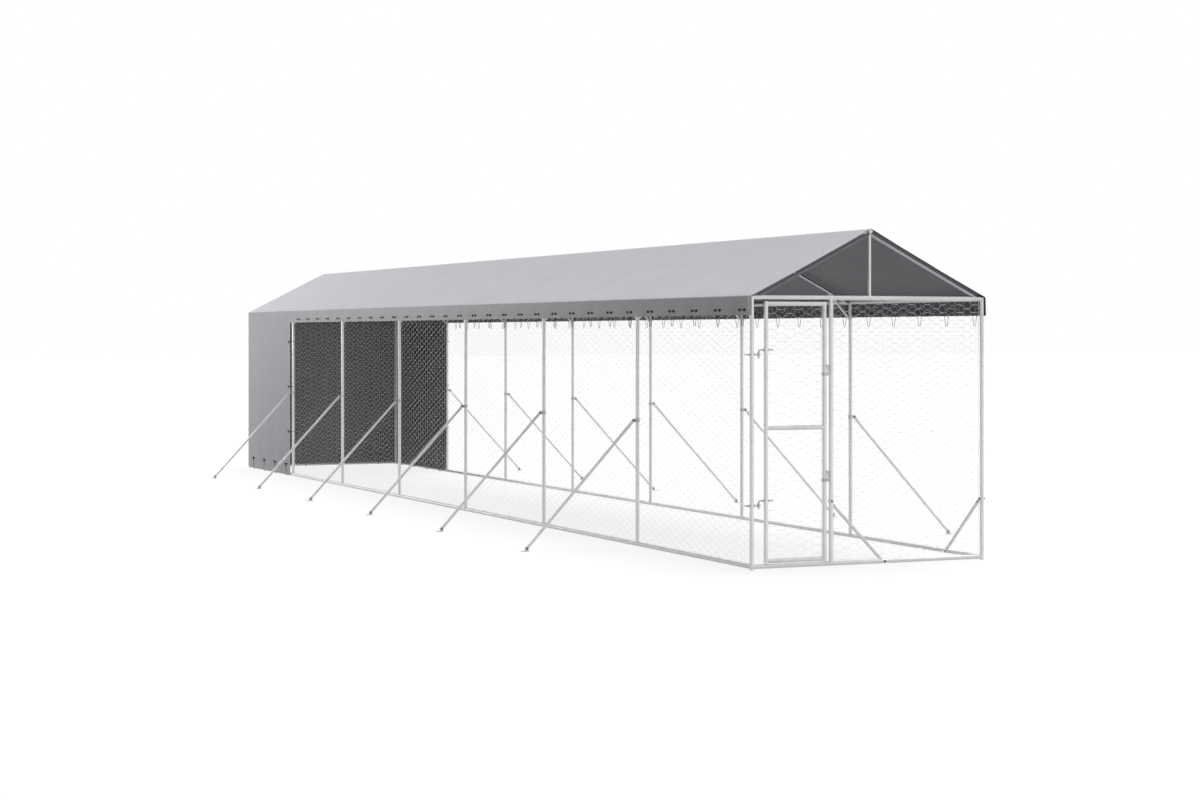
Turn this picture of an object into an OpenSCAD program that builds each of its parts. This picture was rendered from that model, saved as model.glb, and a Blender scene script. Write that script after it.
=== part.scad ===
// Covered outdoor dog run: tube frame, wire mesh walls, one door and a sheet cover with a rear shelter.
// X runs across the run, Y along it from the door at the front, Z up from the ground. Millimetres.

/* [Run] */
// Number of bays along the run
bays = 7; // [4:1:9]
// Distance between neighbouring posts along the run
bay_pitch = 1995; // [1700:5:2200]
// Distance between the left and right posts, centre to centre
frame_w = 1968; // [1800:4:2300]
// Height of the side walls to the top of the eave rails
wall_h = 2000; // [1950:10:2200]
// Height of the ridge tube above the eave rails, centre to centre
ridge_rise = 496; // [420:4:580]

/* [Tubes] */
// Outer diameter of the posts, rails, ridge and door tubes
tube_d = 32; // [30:1:35]
// Outer diameter of the braces, rafters, hangers and king posts
brace_d = 25; // [22:1:27]
// Outer diameter of the knee braces
knee_d = 20; // [16:1:24]
// Wall thickness of every tube
tube_wall = 1.2; // [1:0.1:1.8]
// Length of the swaged end that joins two rails
spigot_l = 60; // [40:5:100]
// Gap left at a seat between two pieces
seat_gap = 0.3; // [0.2:0.05:0.4]
// Height of the bottom rails above the ground
ground_gap = 8; // [7:1:16]

/* [Ground braces] */
// Height of the bolts that hold the braces to the posts
brace_top_z = 1020; // [900:10:1040]
// Distance from a post's centre to its brace's foot bolt
brace_reach = 960; // [800:10:1100]
// Distance from a post's centre to the bolt in its clamp
clamp_reach = 34; // [34:1:46]
// Thickness of the flattened brace ends
tongue_t = 6; // [5:0.5:7]
// Length of the flat end behind its bolt
flat_l = 20; // [18:1:30]
// Length of the taper from the flat end to the round tube
taper_l = 35; // [30:1:60]
// Thickness of the clamp bands
band_t = 3; // [2:0.5:4]
// Width of the clamp bands and ears
band_w = 28; // [24:1:32]
// Thickness of the clamp and foot ears
ear_t = 4; // [3:0.5:6]
// Diameter of the frame bolts
bolt_d = 8; // [6:1:10]

/* [Foot plates] */
// Length of a foot plate
foot_l = 60; // [58:2:80]
// Width of a foot plate
foot_w = 36; // [34:2:50]
// Thickness of a foot plate
foot_t = 5; // [4:0.5:6]
// Height of the foot bolt above the ground
foot_bolt_z = 24; // [22:1:30]
// Diameter of the ground peg's hole
peg_hole_d = 10; // [8:1:11]
// Distance from the foot bolt to the peg hole
peg_reach = 30; // [28:1:32]

/* [Corner braces] */
// Height of the front corner brace on the latch post
front_brace_h = 483; // [420:1:540]
// Distance from the latch post to the front corner brace's lower end
front_brace_l = 450; // [400:1:520]
// Height of the side corner brace on the right corner post
side_brace_h = 464; // [400:1:540]
// Distance from the corner post to the side corner brace's lower end
side_brace_l = 484; // [400:1:540]

/* [Roof frame] */
// Depth of the rafters below the line from the eave rails to the ridge tube
rafter_drop = 19; // [16:1:24]
// Length of a ridge hanger below the ridge tube's centre
hanger_l = 50; // [44:1:80]
// Height of the knee braces on the posts
knee_z = 1830; // [1800:5:1850]
// Distance from a post to its knee brace's upper end
knee_reach = 215; // [190:5:260]
// Length of the ridge tube past the front posts' centres
ridge_overhang = 20; // [18:1:24]

/* [Cover] */
// Thickness of the cover sheet
sheet_t = 1; // [0.8:0.1:2]
// Depth of the valances below the top of the eave rails
valance_h = 145; // [135:5:160]
// Length of the cover past the front posts' centres
cover_overhang = 25; // [25:1:40]
// Distance from the last side post to the front edge of the shelter's wall
shelter_setback = 75; // [60:5:100]
// Height of the shelter's hem above the ground
shelter_hem = 15; // [12:1:25]

/* [Eyelets and ties] */
// Outer diameter of an eyelet
eyelet_d = 24; // [22:1:26]
// Bore of an eyelet
eyelet_bore = 13; // [11:0.5:14]
// Thickness of an eyelet's flanges
flange_t = 1; // [0.8:0.1:1.2]
// Distance between the two eyelets of a pair
pair_w = 76; // [70:2:90]
// Depth of the eave eyelets below the top of the eave rails
eave_eyelet_drop = 107; // [100:1:115]
// Number of eave ties in a bay
bay_ties = 5; // [3:1:6]
// Distance from a post to the first tie of its bay
tie_first = 120; // [90:5:200]
// Diameter of the tie cord
cord_d = 4; // [3:0.5:5]
// Length of an eave loop below its eyelets
loop_l = 118; // [100:2:140]
// Inner bend of an eave loop's lower end, at the cord's centre
loop_r = 14; // [10:1:18]
// Height of the shelter's lower eyelets
hem_eyelet_z = 143; // [120:1:180]
// Number of tied pairs along each shelter wall's hem
hem_ties = 4; // [2:1:5]
// Distance from the last side post to the shelter's edge eyelets
edge_eyelet_y = 146; // [130:2:170]
// Height of the lowest edge tie
edge_tie_z = 545; // [500:5:560]
// Distance between the edge ties
edge_tie_pitch = 540; // [530:5:560]
// Number of edge ties on each side
edge_ties = 3; // [1:1:3]

/* [Mesh] */
// Spacing of the mesh columns
net_pitch = 333; // [250:1:500]
// Thickness of a mesh panel
net_t = 3; // [2:0.5:4]
// Width of a mesh strand
strand_w = 3; // [2:0.5:5]
// Gap between a mesh panel and the posts beside it or the rail below it
net_gap = 8; // [8:0.5:10]
// Height of a mesh cell as a share of the columns' spacing
cell_aspect = 0.82; // [0.7:0.01:1]
// Level part of a mesh cell as a share of the columns' spacing
cell_flat = 0.59; // [0.5:0.01:0.7]

/* [Door] */
// Distance from the left corner post to the latch post, centre to centre
latch_post_x = 656; // [600:2:760]
// Distance from the left corner post to the hinge pins
hinge_x = 57; // [54:1:64]
// Distance from the hinge pins to the hinge stile
stile_x = 59; // [56:1:64]
// Clear gap between the latch stile and the latch post
latch_gap = 22; // [20:1:26]
// Gap under the door
door_bottom_gap = 6; // [4:1:12]
// Gap over the door
door_top_gap = 14; // [8:1:20]
// Height of the door's middle rail
mid_rail_z = 1030; // [900:10:1100]
// Gap between the door's mesh and the tubes beside it
door_net_gap = 4; // [3:0.5:6]

/* [Hinges] */
// Height of the lower hinge's eye
lower_hinge_z = 468; // [400:1:540]
// Height of the upper hinge's eye
upper_hinge_z = 1566; // [1450:1:1620]
// Diameter of the hinge pins and shanks
pin_d = 12; // [10:1:12]
// Running clearance between pin and eye, on the radius
pin_play = 0.05; // [0.02:0.01:0.08]
// Height of an eye
eye_h = 24; // [20:1:26]
// Wall of an eye
eye_wall = 7; // [5:0.5:8]
// Height of a pintle's shank above its eye's centre
pintle_lift = 34; // [32:1:40]
// Length of a pin below its eye
pin_tip = 16; // [8:1:24]
// Length of a shank past the tube that it goes through
shank_tail = 45; // [30:1:50]
// Radius of a pintle's bend, at the pin's centre
pintle_bend = 14; // [13:0.5:15]
// Height of a pintle's shoulder
shoulder_h = 5; // [4:0.5:5]
// Width of a pintle's shoulder round its pin
shoulder_w = 4; // [3:0.5:5]

/* [Latches] */
// Height of the lower latch
lower_latch_z = 640; // [580:5:700]
// Height of the upper latch
upper_latch_z = 1420; // [1300:5:1440]
// Length of a fork from its pin to its tips
fork_l = 75; // [66:1:84]
// Lean of a raised fork towards the door
fork_lean = 12; // [6:1:16]
// Thickness of a fork's tines
tine_t = 5; // [4:0.5:6]
// Width of a fork's tines
tine_w = 14; // [12:1:16]
// Diameter of a fork's pin
fork_pin_d = 8; // [6:1:8]
// Width of a collar and its lug
collar_w = 24; // [20:1:28]
// Gap between a lug and the tubes beside it
lug_gap = 3; // [2:0.5:4]

/* [Hidden] */
$fn = 48;

tube_r = tube_d / 2;
brace_r = brace_d / 2;
knee_r = knee_d / 2;
cord_r = cord_d / 2;
seat_r = tube_r + seat_gap;
brace_seat_r = brace_r + seat_gap;
half_w = frame_w / 2;
rail_z = ground_gap + tube_r;
eave_z = wall_h - tube_r;
ridge_z = eave_z + ridge_rise;
post_top = eave_z + tube_r / 2;
tall = ridge_z + tube_d;

// Roof plane, measured from the line through the tube centres
roof_a = atan2(ridge_rise, half_w);
sheet_in = seat_r;
sheet_out = sheet_in + sheet_t;
wall_in = half_w + sheet_in;
wall_out = half_w + sheet_out;
valance_z = wall_h - valance_h;

// The run is placed so that its cover is centred along Y
front_y = (cover_overhang - sheet_out - bays * bay_pitch) / 2;
rear_y = front_y + bays * bay_pitch;
cover_front = front_y - cover_overhang;
cover_rear = rear_y + sheet_out;
shelter_y = front_y + (bays - 1) * bay_pitch;

// Flat ends, clamps, bolts
bolt_r = bolt_d / 2;
bolt_hole_r = bolt_r + seat_gap;
nut_play = seat_gap / 2;
head_h = 0.65 * bolt_d;
nut_h = 0.8 * bolt_d;
hex_d = 1.85 * bolt_d;
ear_in = tongue_t / 2 + seat_gap;
ear_out = ear_in + ear_t;
band_r = seat_r + band_t;
corner_brace_off = seat_r + tongue_t / 2;
foot_x = half_w + brace_reach;
ear_chamfer = band_w / 4;

// Rafters
rafter_foot_z = eave_z - rafter_drop;
rafter_top_z = ridge_z - rafter_drop;

// Eyelets, cords
sheet_mid = sheet_in + sheet_t / 2;
flange_in = sheet_t / 2 + nut_play;
flange_out = flange_in + flange_t;
barrel_r = eyelet_bore / 2 + flange_t;
eyelet_hole_r = barrel_r + nut_play;
cord_out = sheet_mid + flange_out + seat_gap + cord_r;
cord_in = sheet_mid - flange_out - seat_gap - cord_r;
cord_ring = seat_r + cord_r;
eave_eyelet_z = wall_h - eave_eyelet_drop;
loop_drop = loop_l - cord_r - loop_r;
loop_reach = norm([pair_w / 2, loop_drop]);
loop_lean = atan2(pair_w / 2, loop_drop) - asin(loop_r / loop_reach);

// Door
latch_x = -half_w + latch_post_x;
pin_x = -half_w + hinge_x;
hinge_stile_x = pin_x + stile_x;
latch_stile_x = latch_x - tube_d - latch_gap;
door_z0 = rail_z + tube_r + door_bottom_gap;
door_z1 = eave_z - tube_r - door_top_gap;
hinge_zs = [lower_hinge_z, upper_hinge_z];
latch_zs = [lower_latch_z, upper_latch_z];
pin_r = pin_d / 2;
shank_hole_r = pin_r + seat_gap;
shank_hex_d = 1.75 * pin_d;
shank_nut_h = 0.7 * pin_d;
shoulder_r = pin_r + shoulder_w;
door_net_off = shank_hex_d / 2 + 2 * seat_gap + net_t / 2;

// Latches
fork_pin_r = fork_pin_d / 2;
fork_x = latch_x - tube_r - latch_gap / 2;
lug_r = latch_gap / 2 - lug_gap;
tine_in = band_r + seat_gap;

function post_y(i) = front_y + i * bay_pitch;
function roof_at(x, off) = ridge_z + off / cos(roof_a) - tan(roof_a) * x;
function rafter_at(x) = rafter_top_z - tan(roof_a) * x;

// Lays out what is drawn for the right side on either side of the run
module on_side(s) {
    if (s > 0) children();
    else mirror([1, 0, 0]) children();
}

// Puts children, drawn along +Z from the origin, along the line from a to b
module aim(a, b) {
    v = b - a;
    translate(a) rotate([0, acos(v[2] / norm(v)), atan2(v[1], v[0])]) children();
}

module tube(d, l) {
    difference() {
        cylinder(d = d, h = l);
        translate([0, 0, -1]) cylinder(d = d - 2 * tube_wall, h = l + 2);
    }
}

module rod_x(r, l) {
    rotate([0, 90, 0]) cylinder(r = r, h = l, center = true);
}

module rod_y(r, l) {
    rotate([90, 0, 0]) cylinder(r = r, h = l, center = true);
}

// Extrudes an outline drawn in X and Z along Y
module along_y(y0, y1) {
    translate([0, y1, 0]) rotate([90, 0, 0]) linear_extrude(y1 - y0) children();
}

// Waste at a corner between two level rails: a runs along the rail, b to the inside
module corner_waste() {
    linear_extrude(2 * tube_d, center = true)
        polygon([[seat_gap, 0], [seat_gap + tube_d, tube_d], [-tube_d, tube_d], [-tube_d, 0]]);
}

// One rail of a bay along +Z, with a swaged end that enters the next rail
module swaged_rail(l, spigot) {
    r1 = tube_r - tube_wall;
    r2 = r1 - seat_gap;
    r3 = r2 - tube_wall;
    end = l - seat_gap;
    step = 3;
    if (spigot)
        rotate_extrude()
            polygon([[r1, 0], [tube_r, 0], [tube_r, end], [r2, end], [r2, end + spigot_l],
                     [r3, end + spigot_l], [r3, end - step], [r1, end - step]]);
    else tube(tube_d, l);
}

module rail_row(z, l0 = 0, l1 = 0) {
    for (i = [0 : bays - 1]) {
        start = i == 0 ? -l0 : 0;
        length = bay_pitch - start + (i == bays - 1 ? l1 : 0);
        translate([0, post_y(i) + start, z]) rotate([-90, 0, 0]) swaged_rail(length, i < bays - 1);
    }
}

// Side rails with both ends fitted to the corner posts, right side
module side_rails(z) {
    difference() {
        translate([half_w, 0, 0]) rail_row(z);
        for (y = [front_y, rear_y]) translate([half_w, y, 0]) cylinder(r = seat_r, h = tall);
        translate([half_w, front_y, z]) rotate(90) corner_waste();
        translate([half_w, rear_y, z]) mirror([0, 1, 0]) rotate(90) corner_waste();
    }
}

// Front or rear rail between the corner posts; inside is +1 where the run lies at larger Y
module cross_rail(y, z, inside) {
    difference() {
        translate([-half_w, y, z]) rotate([0, 90, 0]) tube(tube_d, frame_w);
        for (s = [-1, 1]) {
            translate([s * half_w, y, 0]) cylinder(r = seat_r, h = tall);
            translate([s * half_w, y, z]) mirror([s > 0 ? 1 : 0, 0, 0])
                mirror([0, inside > 0 ? 0 : 1, 0]) corner_waste();
        }
    }
}

// Upright between the bottom and eave rails, standing at the origin
module upright(rails_along_x) {
    difference() {
        translate([0, 0, rail_z]) tube(tube_d, eave_z - rail_z);
        for (z = [rail_z, eave_z])
            translate([0, 0, z]) rotate(rails_along_x ? 90 : 0) rod_y(seat_r, 2 * tube_d);
    }
}

module corner_post() {
    tube(tube_d, post_top);
}

module side_posts() {
    for (i = [1 : bays - 1]) translate([half_w, post_y(i), 0]) upright(false);
}

module corner_posts() {
    color("gainsboro") {
        difference() {
            translate([-half_w, front_y, 0]) corner_post();
            for (z = hinge_zs) translate([-half_w, front_y, z]) rod_x(shank_hole_r, 2 * tube_d);
        }
        difference() {
            translate([half_w, front_y, 0]) corner_post();
            translate([half_w, front_y, side_brace_h]) rod_x(bolt_hole_r, 2 * tube_d);
        }
        for (s = [-1, 1]) translate([s * half_w, rear_y, 0]) corner_post();
    }
}

module left_posts() {
    color("gainsboro") on_side(-1) side_posts();
}

module right_posts() {
    color("gainsboro") side_posts();
}

module left_bottom_rails() {
    color("lightgray") on_side(-1) side_rails(rail_z);
}

module right_bottom_rails() {
    color("lightgray") difference() {
        side_rails(rail_z);
        translate([half_w, front_y + side_brace_l, rail_z]) rod_x(bolt_hole_r, 2 * tube_d);
    }
}

module left_eave_rails() {
    color("lightgray") on_side(-1) side_rails(eave_z);
}

module right_eave_rails() {
    color("lightgray") side_rails(eave_z);
}

module front_bottom_rail() {
    color("lightgray") difference() {
        cross_rail(front_y, rail_z, 1);
        translate([latch_x + front_brace_l, front_y, rail_z]) rod_y(bolt_hole_r, 2 * tube_d);
    }
}

module front_top_rail() {
    color("lightgray") cross_rail(front_y, eave_z, 1);
}

module rear_bottom_rail() {
    color("lightgray") cross_rail(rear_y, rail_z, -1);
}

module rear_top_rail() {
    color("lightgray") cross_rail(rear_y, eave_z, -1);
}

module latch_post() {
    color("gainsboro") translate([latch_x, front_y, 0]) difference() {
        upright(true);
        translate([0, 0, front_brace_h]) rod_y(bolt_hole_r, 2 * tube_d);
    }
}

// Tube along +Z between two bolts, l apart, with both ends pressed flat across Y
module flat_ended_tube(l) {
    t = tongue_t / 2;
    shoulder = flat_l + taper_l;
    tip = brace_r;
    corner = brace_r / 2;
    difference() {
        intersection() {
            translate([0, 0, -tip]) cylinder(r = brace_r, h = l + 2 * tip);
            rotate([90, 0, 90]) linear_extrude(2 * brace_d, center = true)
                polygon([[-t, -brace_d], [t, -brace_d], [t, flat_l], [brace_r, shoulder],
                         [brace_r, l - shoulder], [t, l - flat_l], [t, l + brace_d], [-t, l + brace_d],
                         [-t, l - flat_l], [-brace_r, l - shoulder], [-brace_r, shoulder], [-t, flat_l]]);
            rotate([90, 0, 0]) linear_extrude(2 * brace_d, center = true)
                polygon([[-corner, -tip], [corner, -tip], [brace_d, brace_d - tip - corner],
                         [brace_d, l - brace_d + tip + corner], [corner, l + tip], [-corner, l + tip],
                         [-brace_d, l - brace_d + tip + corner], [-brace_d, brace_d - tip - corner]]);
        }
        translate([0, 0, shoulder]) cylinder(r = brace_r - tube_wall, h = l - 2 * shoulder);
        for (z = [0, l]) translate([0, 0, z]) rod_y(bolt_hole_r, brace_d);
    }
}

module braces() {
    a = [half_w + clamp_reach, 0, brace_top_z];
    b = [foot_x, 0, foot_bolt_z];
    for (i = [1 : bays - 1]) translate([0, post_y(i), 0]) aim(a, b) flat_ended_tube(norm(b - a));
}

module left_braces() {
    color("silver") on_side(-1) braces();
}

module right_braces() {
    color("silver") braces();
}

// Pair of ears across Y with an outline drawn in X and Z
module ears() {
    along_y(ear_in, ear_out) children();
    along_y(-ear_out, -ear_in) children();
}

module brace_clamp() {
    tip = clamp_reach + band_w / 2;
    w = band_w / 2;
    difference() {
        union() {
            cylinder(r = band_r, h = band_w, center = true);
            ears() polygon([[0, -w], [tip - ear_chamfer, -w], [tip, ear_chamfer - w], [tip, w - ear_chamfer],
                            [tip - ear_chamfer, w], [0, w]]);
        }
        cylinder(r = seat_r, h = 2 * band_w, center = true);
        translate([clamp_reach, 0, 0]) rod_y(bolt_hole_r, tube_d);
    }
}

module brace_clamps() {
    for (i = [1 : bays - 1]) translate([half_w, post_y(i), brace_top_z]) brace_clamp();
}

module left_brace_clamps() {
    color("darkgray") on_side(-1) brace_clamps();
}

module right_brace_clamps() {
    color("darkgray") brace_clamps();
}

module foot_plate() {
    w = band_w / 2;
    top = foot_bolt_z + w;
    difference() {
        union() {
            translate([-foot_l / 2 + w, -foot_w / 2, 0]) cube([foot_l, foot_w, foot_t]);
            ears() polygon([[-w, 0], [w, 0], [w, top - ear_chamfer], [w - ear_chamfer, top],
                            [ear_chamfer - w, top], [-w, top - ear_chamfer]]);
        }
        translate([0, 0, foot_bolt_z]) rod_y(bolt_hole_r, tube_d);
        translate([peg_reach, 0, -1]) cylinder(d = peg_hole_d, h = foot_t + 2);
    }
}

module foot_plates() {
    for (i = [1 : bays - 1]) translate([foot_x, post_y(i), 0]) foot_plate();
}

module left_foot_plates() {
    color("silver") on_side(-1) foot_plates();
}

module right_foot_plates() {
    color("silver") foot_plates();
}

module front_corner_brace() {
    a = [latch_x, front_y + corner_brace_off, front_brace_h];
    b = [latch_x + front_brace_l, front_y + corner_brace_off, rail_z];
    color("silver") aim(a, b) flat_ended_tube(norm(b - a));
}

module side_corner_brace() {
    a = [half_w - corner_brace_off, front_y, side_brace_h];
    b = [half_w - corner_brace_off, front_y + side_brace_l, rail_z];
    color("silver") aim(a, b) flat_ended_tube(norm(b - a));
}

// Hexagon bolt along Y; the grip runs from y0 under its head to y1 under its nut
module bolt(y0, y1) {
    rotate([-90, 0, 0]) {
        translate([0, 0, y0 - nut_play - head_h]) cylinder(d = hex_d, h = head_h, $fn = 6);
        translate([0, 0, y0 - nut_play - 1]) cylinder(r = bolt_r, h = y1 - y0 + nut_h + bolt_r);
    }
}

module nut(y1) {
    rotate([-90, 0, 0]) translate([0, 0, y1 + nut_play]) difference() {
        cylinder(d = hex_d, h = nut_h, $fn = 6);
        translate([0, 0, -1]) cylinder(r = bolt_r + nut_play, h = nut_h + 2);
    }
}

// Places of all the frame bolts: at both ends of the ground braces and of the corner braces
module at_brace_bolts() {
    for (s = [-1, 1], i = [1 : bays - 1]) translate([0, post_y(i), 0]) {
        translate([s * (half_w + clamp_reach), 0, brace_top_z]) children();
        translate([s * foot_x, 0, foot_bolt_z]) children();
    }
}

module at_corner_brace_bolts() {
    translate([latch_x, front_y, front_brace_h]) rotate(180) children();
    translate([latch_x + front_brace_l, front_y, rail_z]) rotate(180) children();
    translate([half_w, front_y, side_brace_h]) rotate(-90) children();
    translate([half_w, front_y + side_brace_l, rail_z]) rotate(-90) children();
}

module frame_bolts() {
    color("dimgray") {
        at_brace_bolts() bolt(-ear_out, ear_out);
        at_corner_brace_bolts() bolt(-seat_r - tongue_t, seat_r);
    }
}

module frame_nuts() {
    color("dimgray") {
        at_brace_bolts() nut(ear_out);
        at_corner_brace_bolts() nut(seat_r);
    }
}

// Rafters of the right side, fitted to rails, posts and the struts under the ridge
module rafters() {
    for (i = [0 : bays]) translate([0, post_y(i), 0]) difference() {
        aim([half_w, 0, rafter_foot_z], [0, 0, rafter_top_z])
            tube(brace_d, norm([half_w, ridge_rise]));
        translate([half_w, 0, eave_z]) rod_y(seat_r, 2 * tube_d);
        translate([half_w, 0, 0]) cylinder(r = seat_r, h = tall);
        cylinder(r = brace_seat_r, h = tall);
        translate([0, 0, ridge_z]) rod_y(seat_r, 2 * tube_d);
        if (i == 0 || i == bays) {
            translate([0, 0, eave_z]) rod_x(seat_r, 2 * frame_w);
            translate([0, -tube_d, 0]) cube([frame_w, 2 * tube_d, eave_z]);
        }
    }
}

module left_rafters() {
    color("lightgray") on_side(-1) rafters();
}

module right_rafters() {
    color("lightgray") rafters();
}

module knees() {
    top_x = half_w - knee_reach;
    a = [half_w, 0, knee_z];
    b = [top_x, 0, rafter_at(top_x)];
    for (i = [1 : bays - 1]) translate([0, post_y(i), 0]) difference() {
        aim(a, b) tube(knee_d, norm(b - a));
        translate([half_w, 0, 0]) cylinder(r = seat_r, h = tall);
        aim([half_w, 0, rafter_foot_z], [0, 0, rafter_top_z]) cylinder(r = brace_seat_r, h = frame_w);
    }
}

module left_knees() {
    color("lightgray") on_side(-1) knees();
}

module right_knees() {
    color("lightgray") knees();
}

module ridge_tubes() {
    cap_t = 3;
    color("gainsboro") {
        rail_row(ridge_z, ridge_overhang, tube_r);
        translate([0, front_y - ridge_overhang, ridge_z]) rotate([-90, 0, 0])
            cylinder(r = tube_r - tube_wall - seat_gap, h = cap_t);
    }
}

// Upright strut from height z0 to the ridge tube
module ridge_strut(z0) {
    difference() {
        translate([0, 0, z0]) tube(brace_d, ridge_z - z0);
        translate([0, 0, ridge_z]) rod_y(seat_r, 2 * tube_d);
    }
}

module ridge_hangers() {
    color("silver") for (i = [1 : bays - 1]) translate([0, post_y(i), 0]) ridge_strut(ridge_z - hanger_l);
}

module king_posts() {
    color("silver") for (y = [front_y, rear_y]) translate([0, y, 0]) difference() {
        ridge_strut(eave_z);
        translate([0, 0, eave_z]) rod_x(seat_r, 2 * tube_d);
    }
}

// Hexagonal netting of one panel, w by h from the origin: flat strands lie level
module net_outline(w, h) {
    cols = max(1, round(w / net_pitch));
    pitch = w / cols;
    rows = max(1, round(h / (pitch * cell_aspect)));
    cell_h = h / (rows + 0.5);
    flat = pitch * cell_flat / 2;
    slant = pitch - 2 * flat;
    inset = strand_w / 2;
    lean = atan2(cell_h / 2, slant);
    tip_x = flat + slant - inset / sin(lean);
    top_x = flat + slant * 2 * inset / cell_h - inset / sin(lean);
    top_z = cell_h / 2 - inset;
    difference() {
        square([w, h]);
        intersection() {
            translate([strand_w, strand_w]) square([w - 2 * strand_w, h - 2 * strand_w]);
            union() for (c = [-1 : cols], r = [0 : rows])
                translate([(c + 0.5) * pitch, (r + (c % 2 == 0 ? 0.5 : 0)) * cell_h])
                    polygon([[-top_x, -top_z], [top_x, -top_z], [tip_x, 0], [top_x, top_z], [-top_x, top_z],
                             [-tip_x, 0]]);
        }
    }
}

// Netting panel that stands in the X and Z plane, centred on Y
module net_panel(w, h) {
    along_y(-net_t / 2, net_t / 2) net_outline(w, h);
}

net_z0 = rail_z + tube_r + net_gap;
net_h = eave_z - seat_r - net_z0;

module side_mesh() {
    w = bay_pitch - tube_d - 2 * net_gap;
    for (i = [0 : bays - 1])
        translate([half_w, post_y(i) + tube_r + net_gap, net_z0]) rotate(90) net_panel(w, net_h);
}

module left_mesh() {
    color("lightsteelblue") on_side(-1) side_mesh();
}

module right_mesh() {
    color("lightsteelblue") side_mesh();
}

// Mesh between two uprights of the front or rear, with its own gap on the right
module cross_mesh(x0, x1, y, right_gap) {
    w = x1 - x0 - tube_d - net_gap - right_gap;
    translate([x0 + tube_r + net_gap, y, net_z0]) net_panel(w, net_h);
}

module rear_mesh() {
    color("lightsteelblue") cross_mesh(-half_w, half_w, rear_y, net_gap);
}

// The side corner brace's bolt head stands in the gap on the right
module front_mesh() {
    bolt_gap = seat_gap + tongue_t + nut_play + head_h + 1;
    color("lightsteelblue") cross_mesh(latch_x, half_w, front_y, max(net_gap, bolt_gap));
}

module roof_panel() {
    along_y(cover_front, cover_rear)
        polygon([[0, roof_at(0, sheet_in)], [0, roof_at(0, sheet_out)],
                 [wall_out, roof_at(wall_out, sheet_out)], [wall_in, roof_at(wall_in, sheet_in)]]);
}

module left_roof() {
    color("silver") on_side(-1) roof_panel();
}

module right_roof() {
    color("silver") roof_panel();
}

// Both eyelets of a pair, along Y
module at_pair() {
    for (s = [-1, 1]) translate([0, s * pair_w / 2, 0]) children();
}

// Places of the eave ties on the right side, at the wall's centre plane
module at_eave_ties() {
    for (i = [0 : bays - 2], k = [0 : bay_ties - 1])
        translate([half_w, post_y(i) + tie_first + k * bay_pitch / bay_ties, eave_eyelet_z]) children();
}

module valance() {
    difference() {
        along_y(cover_front, cover_rear)
            polygon([[wall_in, roof_at(wall_in, sheet_in)], [wall_out, roof_at(wall_out, sheet_out)],
                     [wall_out, valance_z], [wall_in, valance_z]]);
        at_eave_ties() at_pair() translate([sheet_mid, 0, 0]) rod_x(eyelet_hole_r, 4 * sheet_t);
    }
}

module left_valance() {
    color("darkgray") on_side(-1) valance();
}

module right_valance() {
    color("darkgray") valance();
}

// Places of the ties along a shelter hem of length l, from its first corner
module at_hem_ties(l) {
    for (k = [0 : hem_ties - 1]) translate([0, (k + 0.5) * l / hem_ties, 0]) children();
}

// Both eyelets of a hem tie, in the sheet's middle
module at_hem_pair() {
    translate([sheet_mid, 0, hem_eyelet_z - rail_z]) at_pair() children();
}

module at_side_hem_ties() {
    translate([half_w, shelter_y, rail_z]) at_hem_ties(bay_pitch) children();
}

module at_rear_hem_ties() {
    translate([half_w, rear_y, rail_z]) rotate(90) at_hem_ties(frame_w) children();
}

// Places of the ties along the shelter wall's front edge, at the last side post
module at_edge_ties() {
    for (k = [0 : edge_ties - 1])
        translate([half_w, shelter_y, edge_tie_z + k * edge_tie_pitch]) children();
}

module shelter_wall() {
    difference() {
        translate([wall_in, shelter_y + shelter_setback, shelter_hem])
            cube([sheet_t, cover_rear - shelter_y - shelter_setback, valance_z - shelter_hem]);
        at_side_hem_ties() at_hem_pair() rod_x(eyelet_hole_r, 4 * sheet_t);
        at_edge_ties() translate([sheet_mid, edge_eyelet_y, 0]) rod_x(eyelet_hole_r, 4 * sheet_t);
    }
}

module shelter_left() {
    color("darkgray") on_side(-1) shelter_wall();
}

module shelter_right() {
    color("darkgray") shelter_wall();
}

module shelter_rear() {
    eave_in = roof_at(wall_in, sheet_in);
    color("darkgray") difference() {
        along_y(rear_y + sheet_in, rear_y + sheet_out)
            polygon([[-wall_in, shelter_hem], [wall_in, shelter_hem], [wall_in, eave_in],
                     [0, roof_at(0, sheet_in)], [-wall_in, eave_in]]);
        at_rear_hem_ties() at_hem_pair() rod_x(eyelet_hole_r, 4 * sheet_t);
    }
}

// Two-flange eyelet on an axis along X, centred in the sheet
module eyelet() {
    bore_r = eyelet_bore / 2;
    rim_r = eyelet_d / 2;
    rotate([0, 90, 0]) rotate_extrude()
        polygon([[bore_r, -flange_out], [rim_r, -flange_out], [rim_r, -flange_in], [barrel_r, -flange_in],
                 [barrel_r, flange_in], [rim_r, flange_in], [rim_r, flange_out], [bore_r, flange_out]]);
}

module eave_eyelets() {
    color("black") for (side = [-1, 1]) on_side(side)
        at_eave_ties() at_pair() translate([sheet_mid, 0, 0]) eyelet();
}

module shelter_eyelets() {
    color("black") {
        for (side = [-1, 1]) on_side(side) {
            at_side_hem_ties() at_hem_pair() eyelet();
            at_edge_ties() translate([sheet_mid, edge_eyelet_y, 0]) eyelet();
        }
        at_rear_hem_ties() at_hem_pair() eyelet();
    }
}

// Points of the eave loop's round end at radius r, from its right leg to its left leg
function loop_end(r) = [for (i = [0 : 6]) let (a = -loop_lean - i * (180 - 2 * loop_lean) / 6)
    [r * cos(a), r * sin(a) - loop_drop]];

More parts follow.
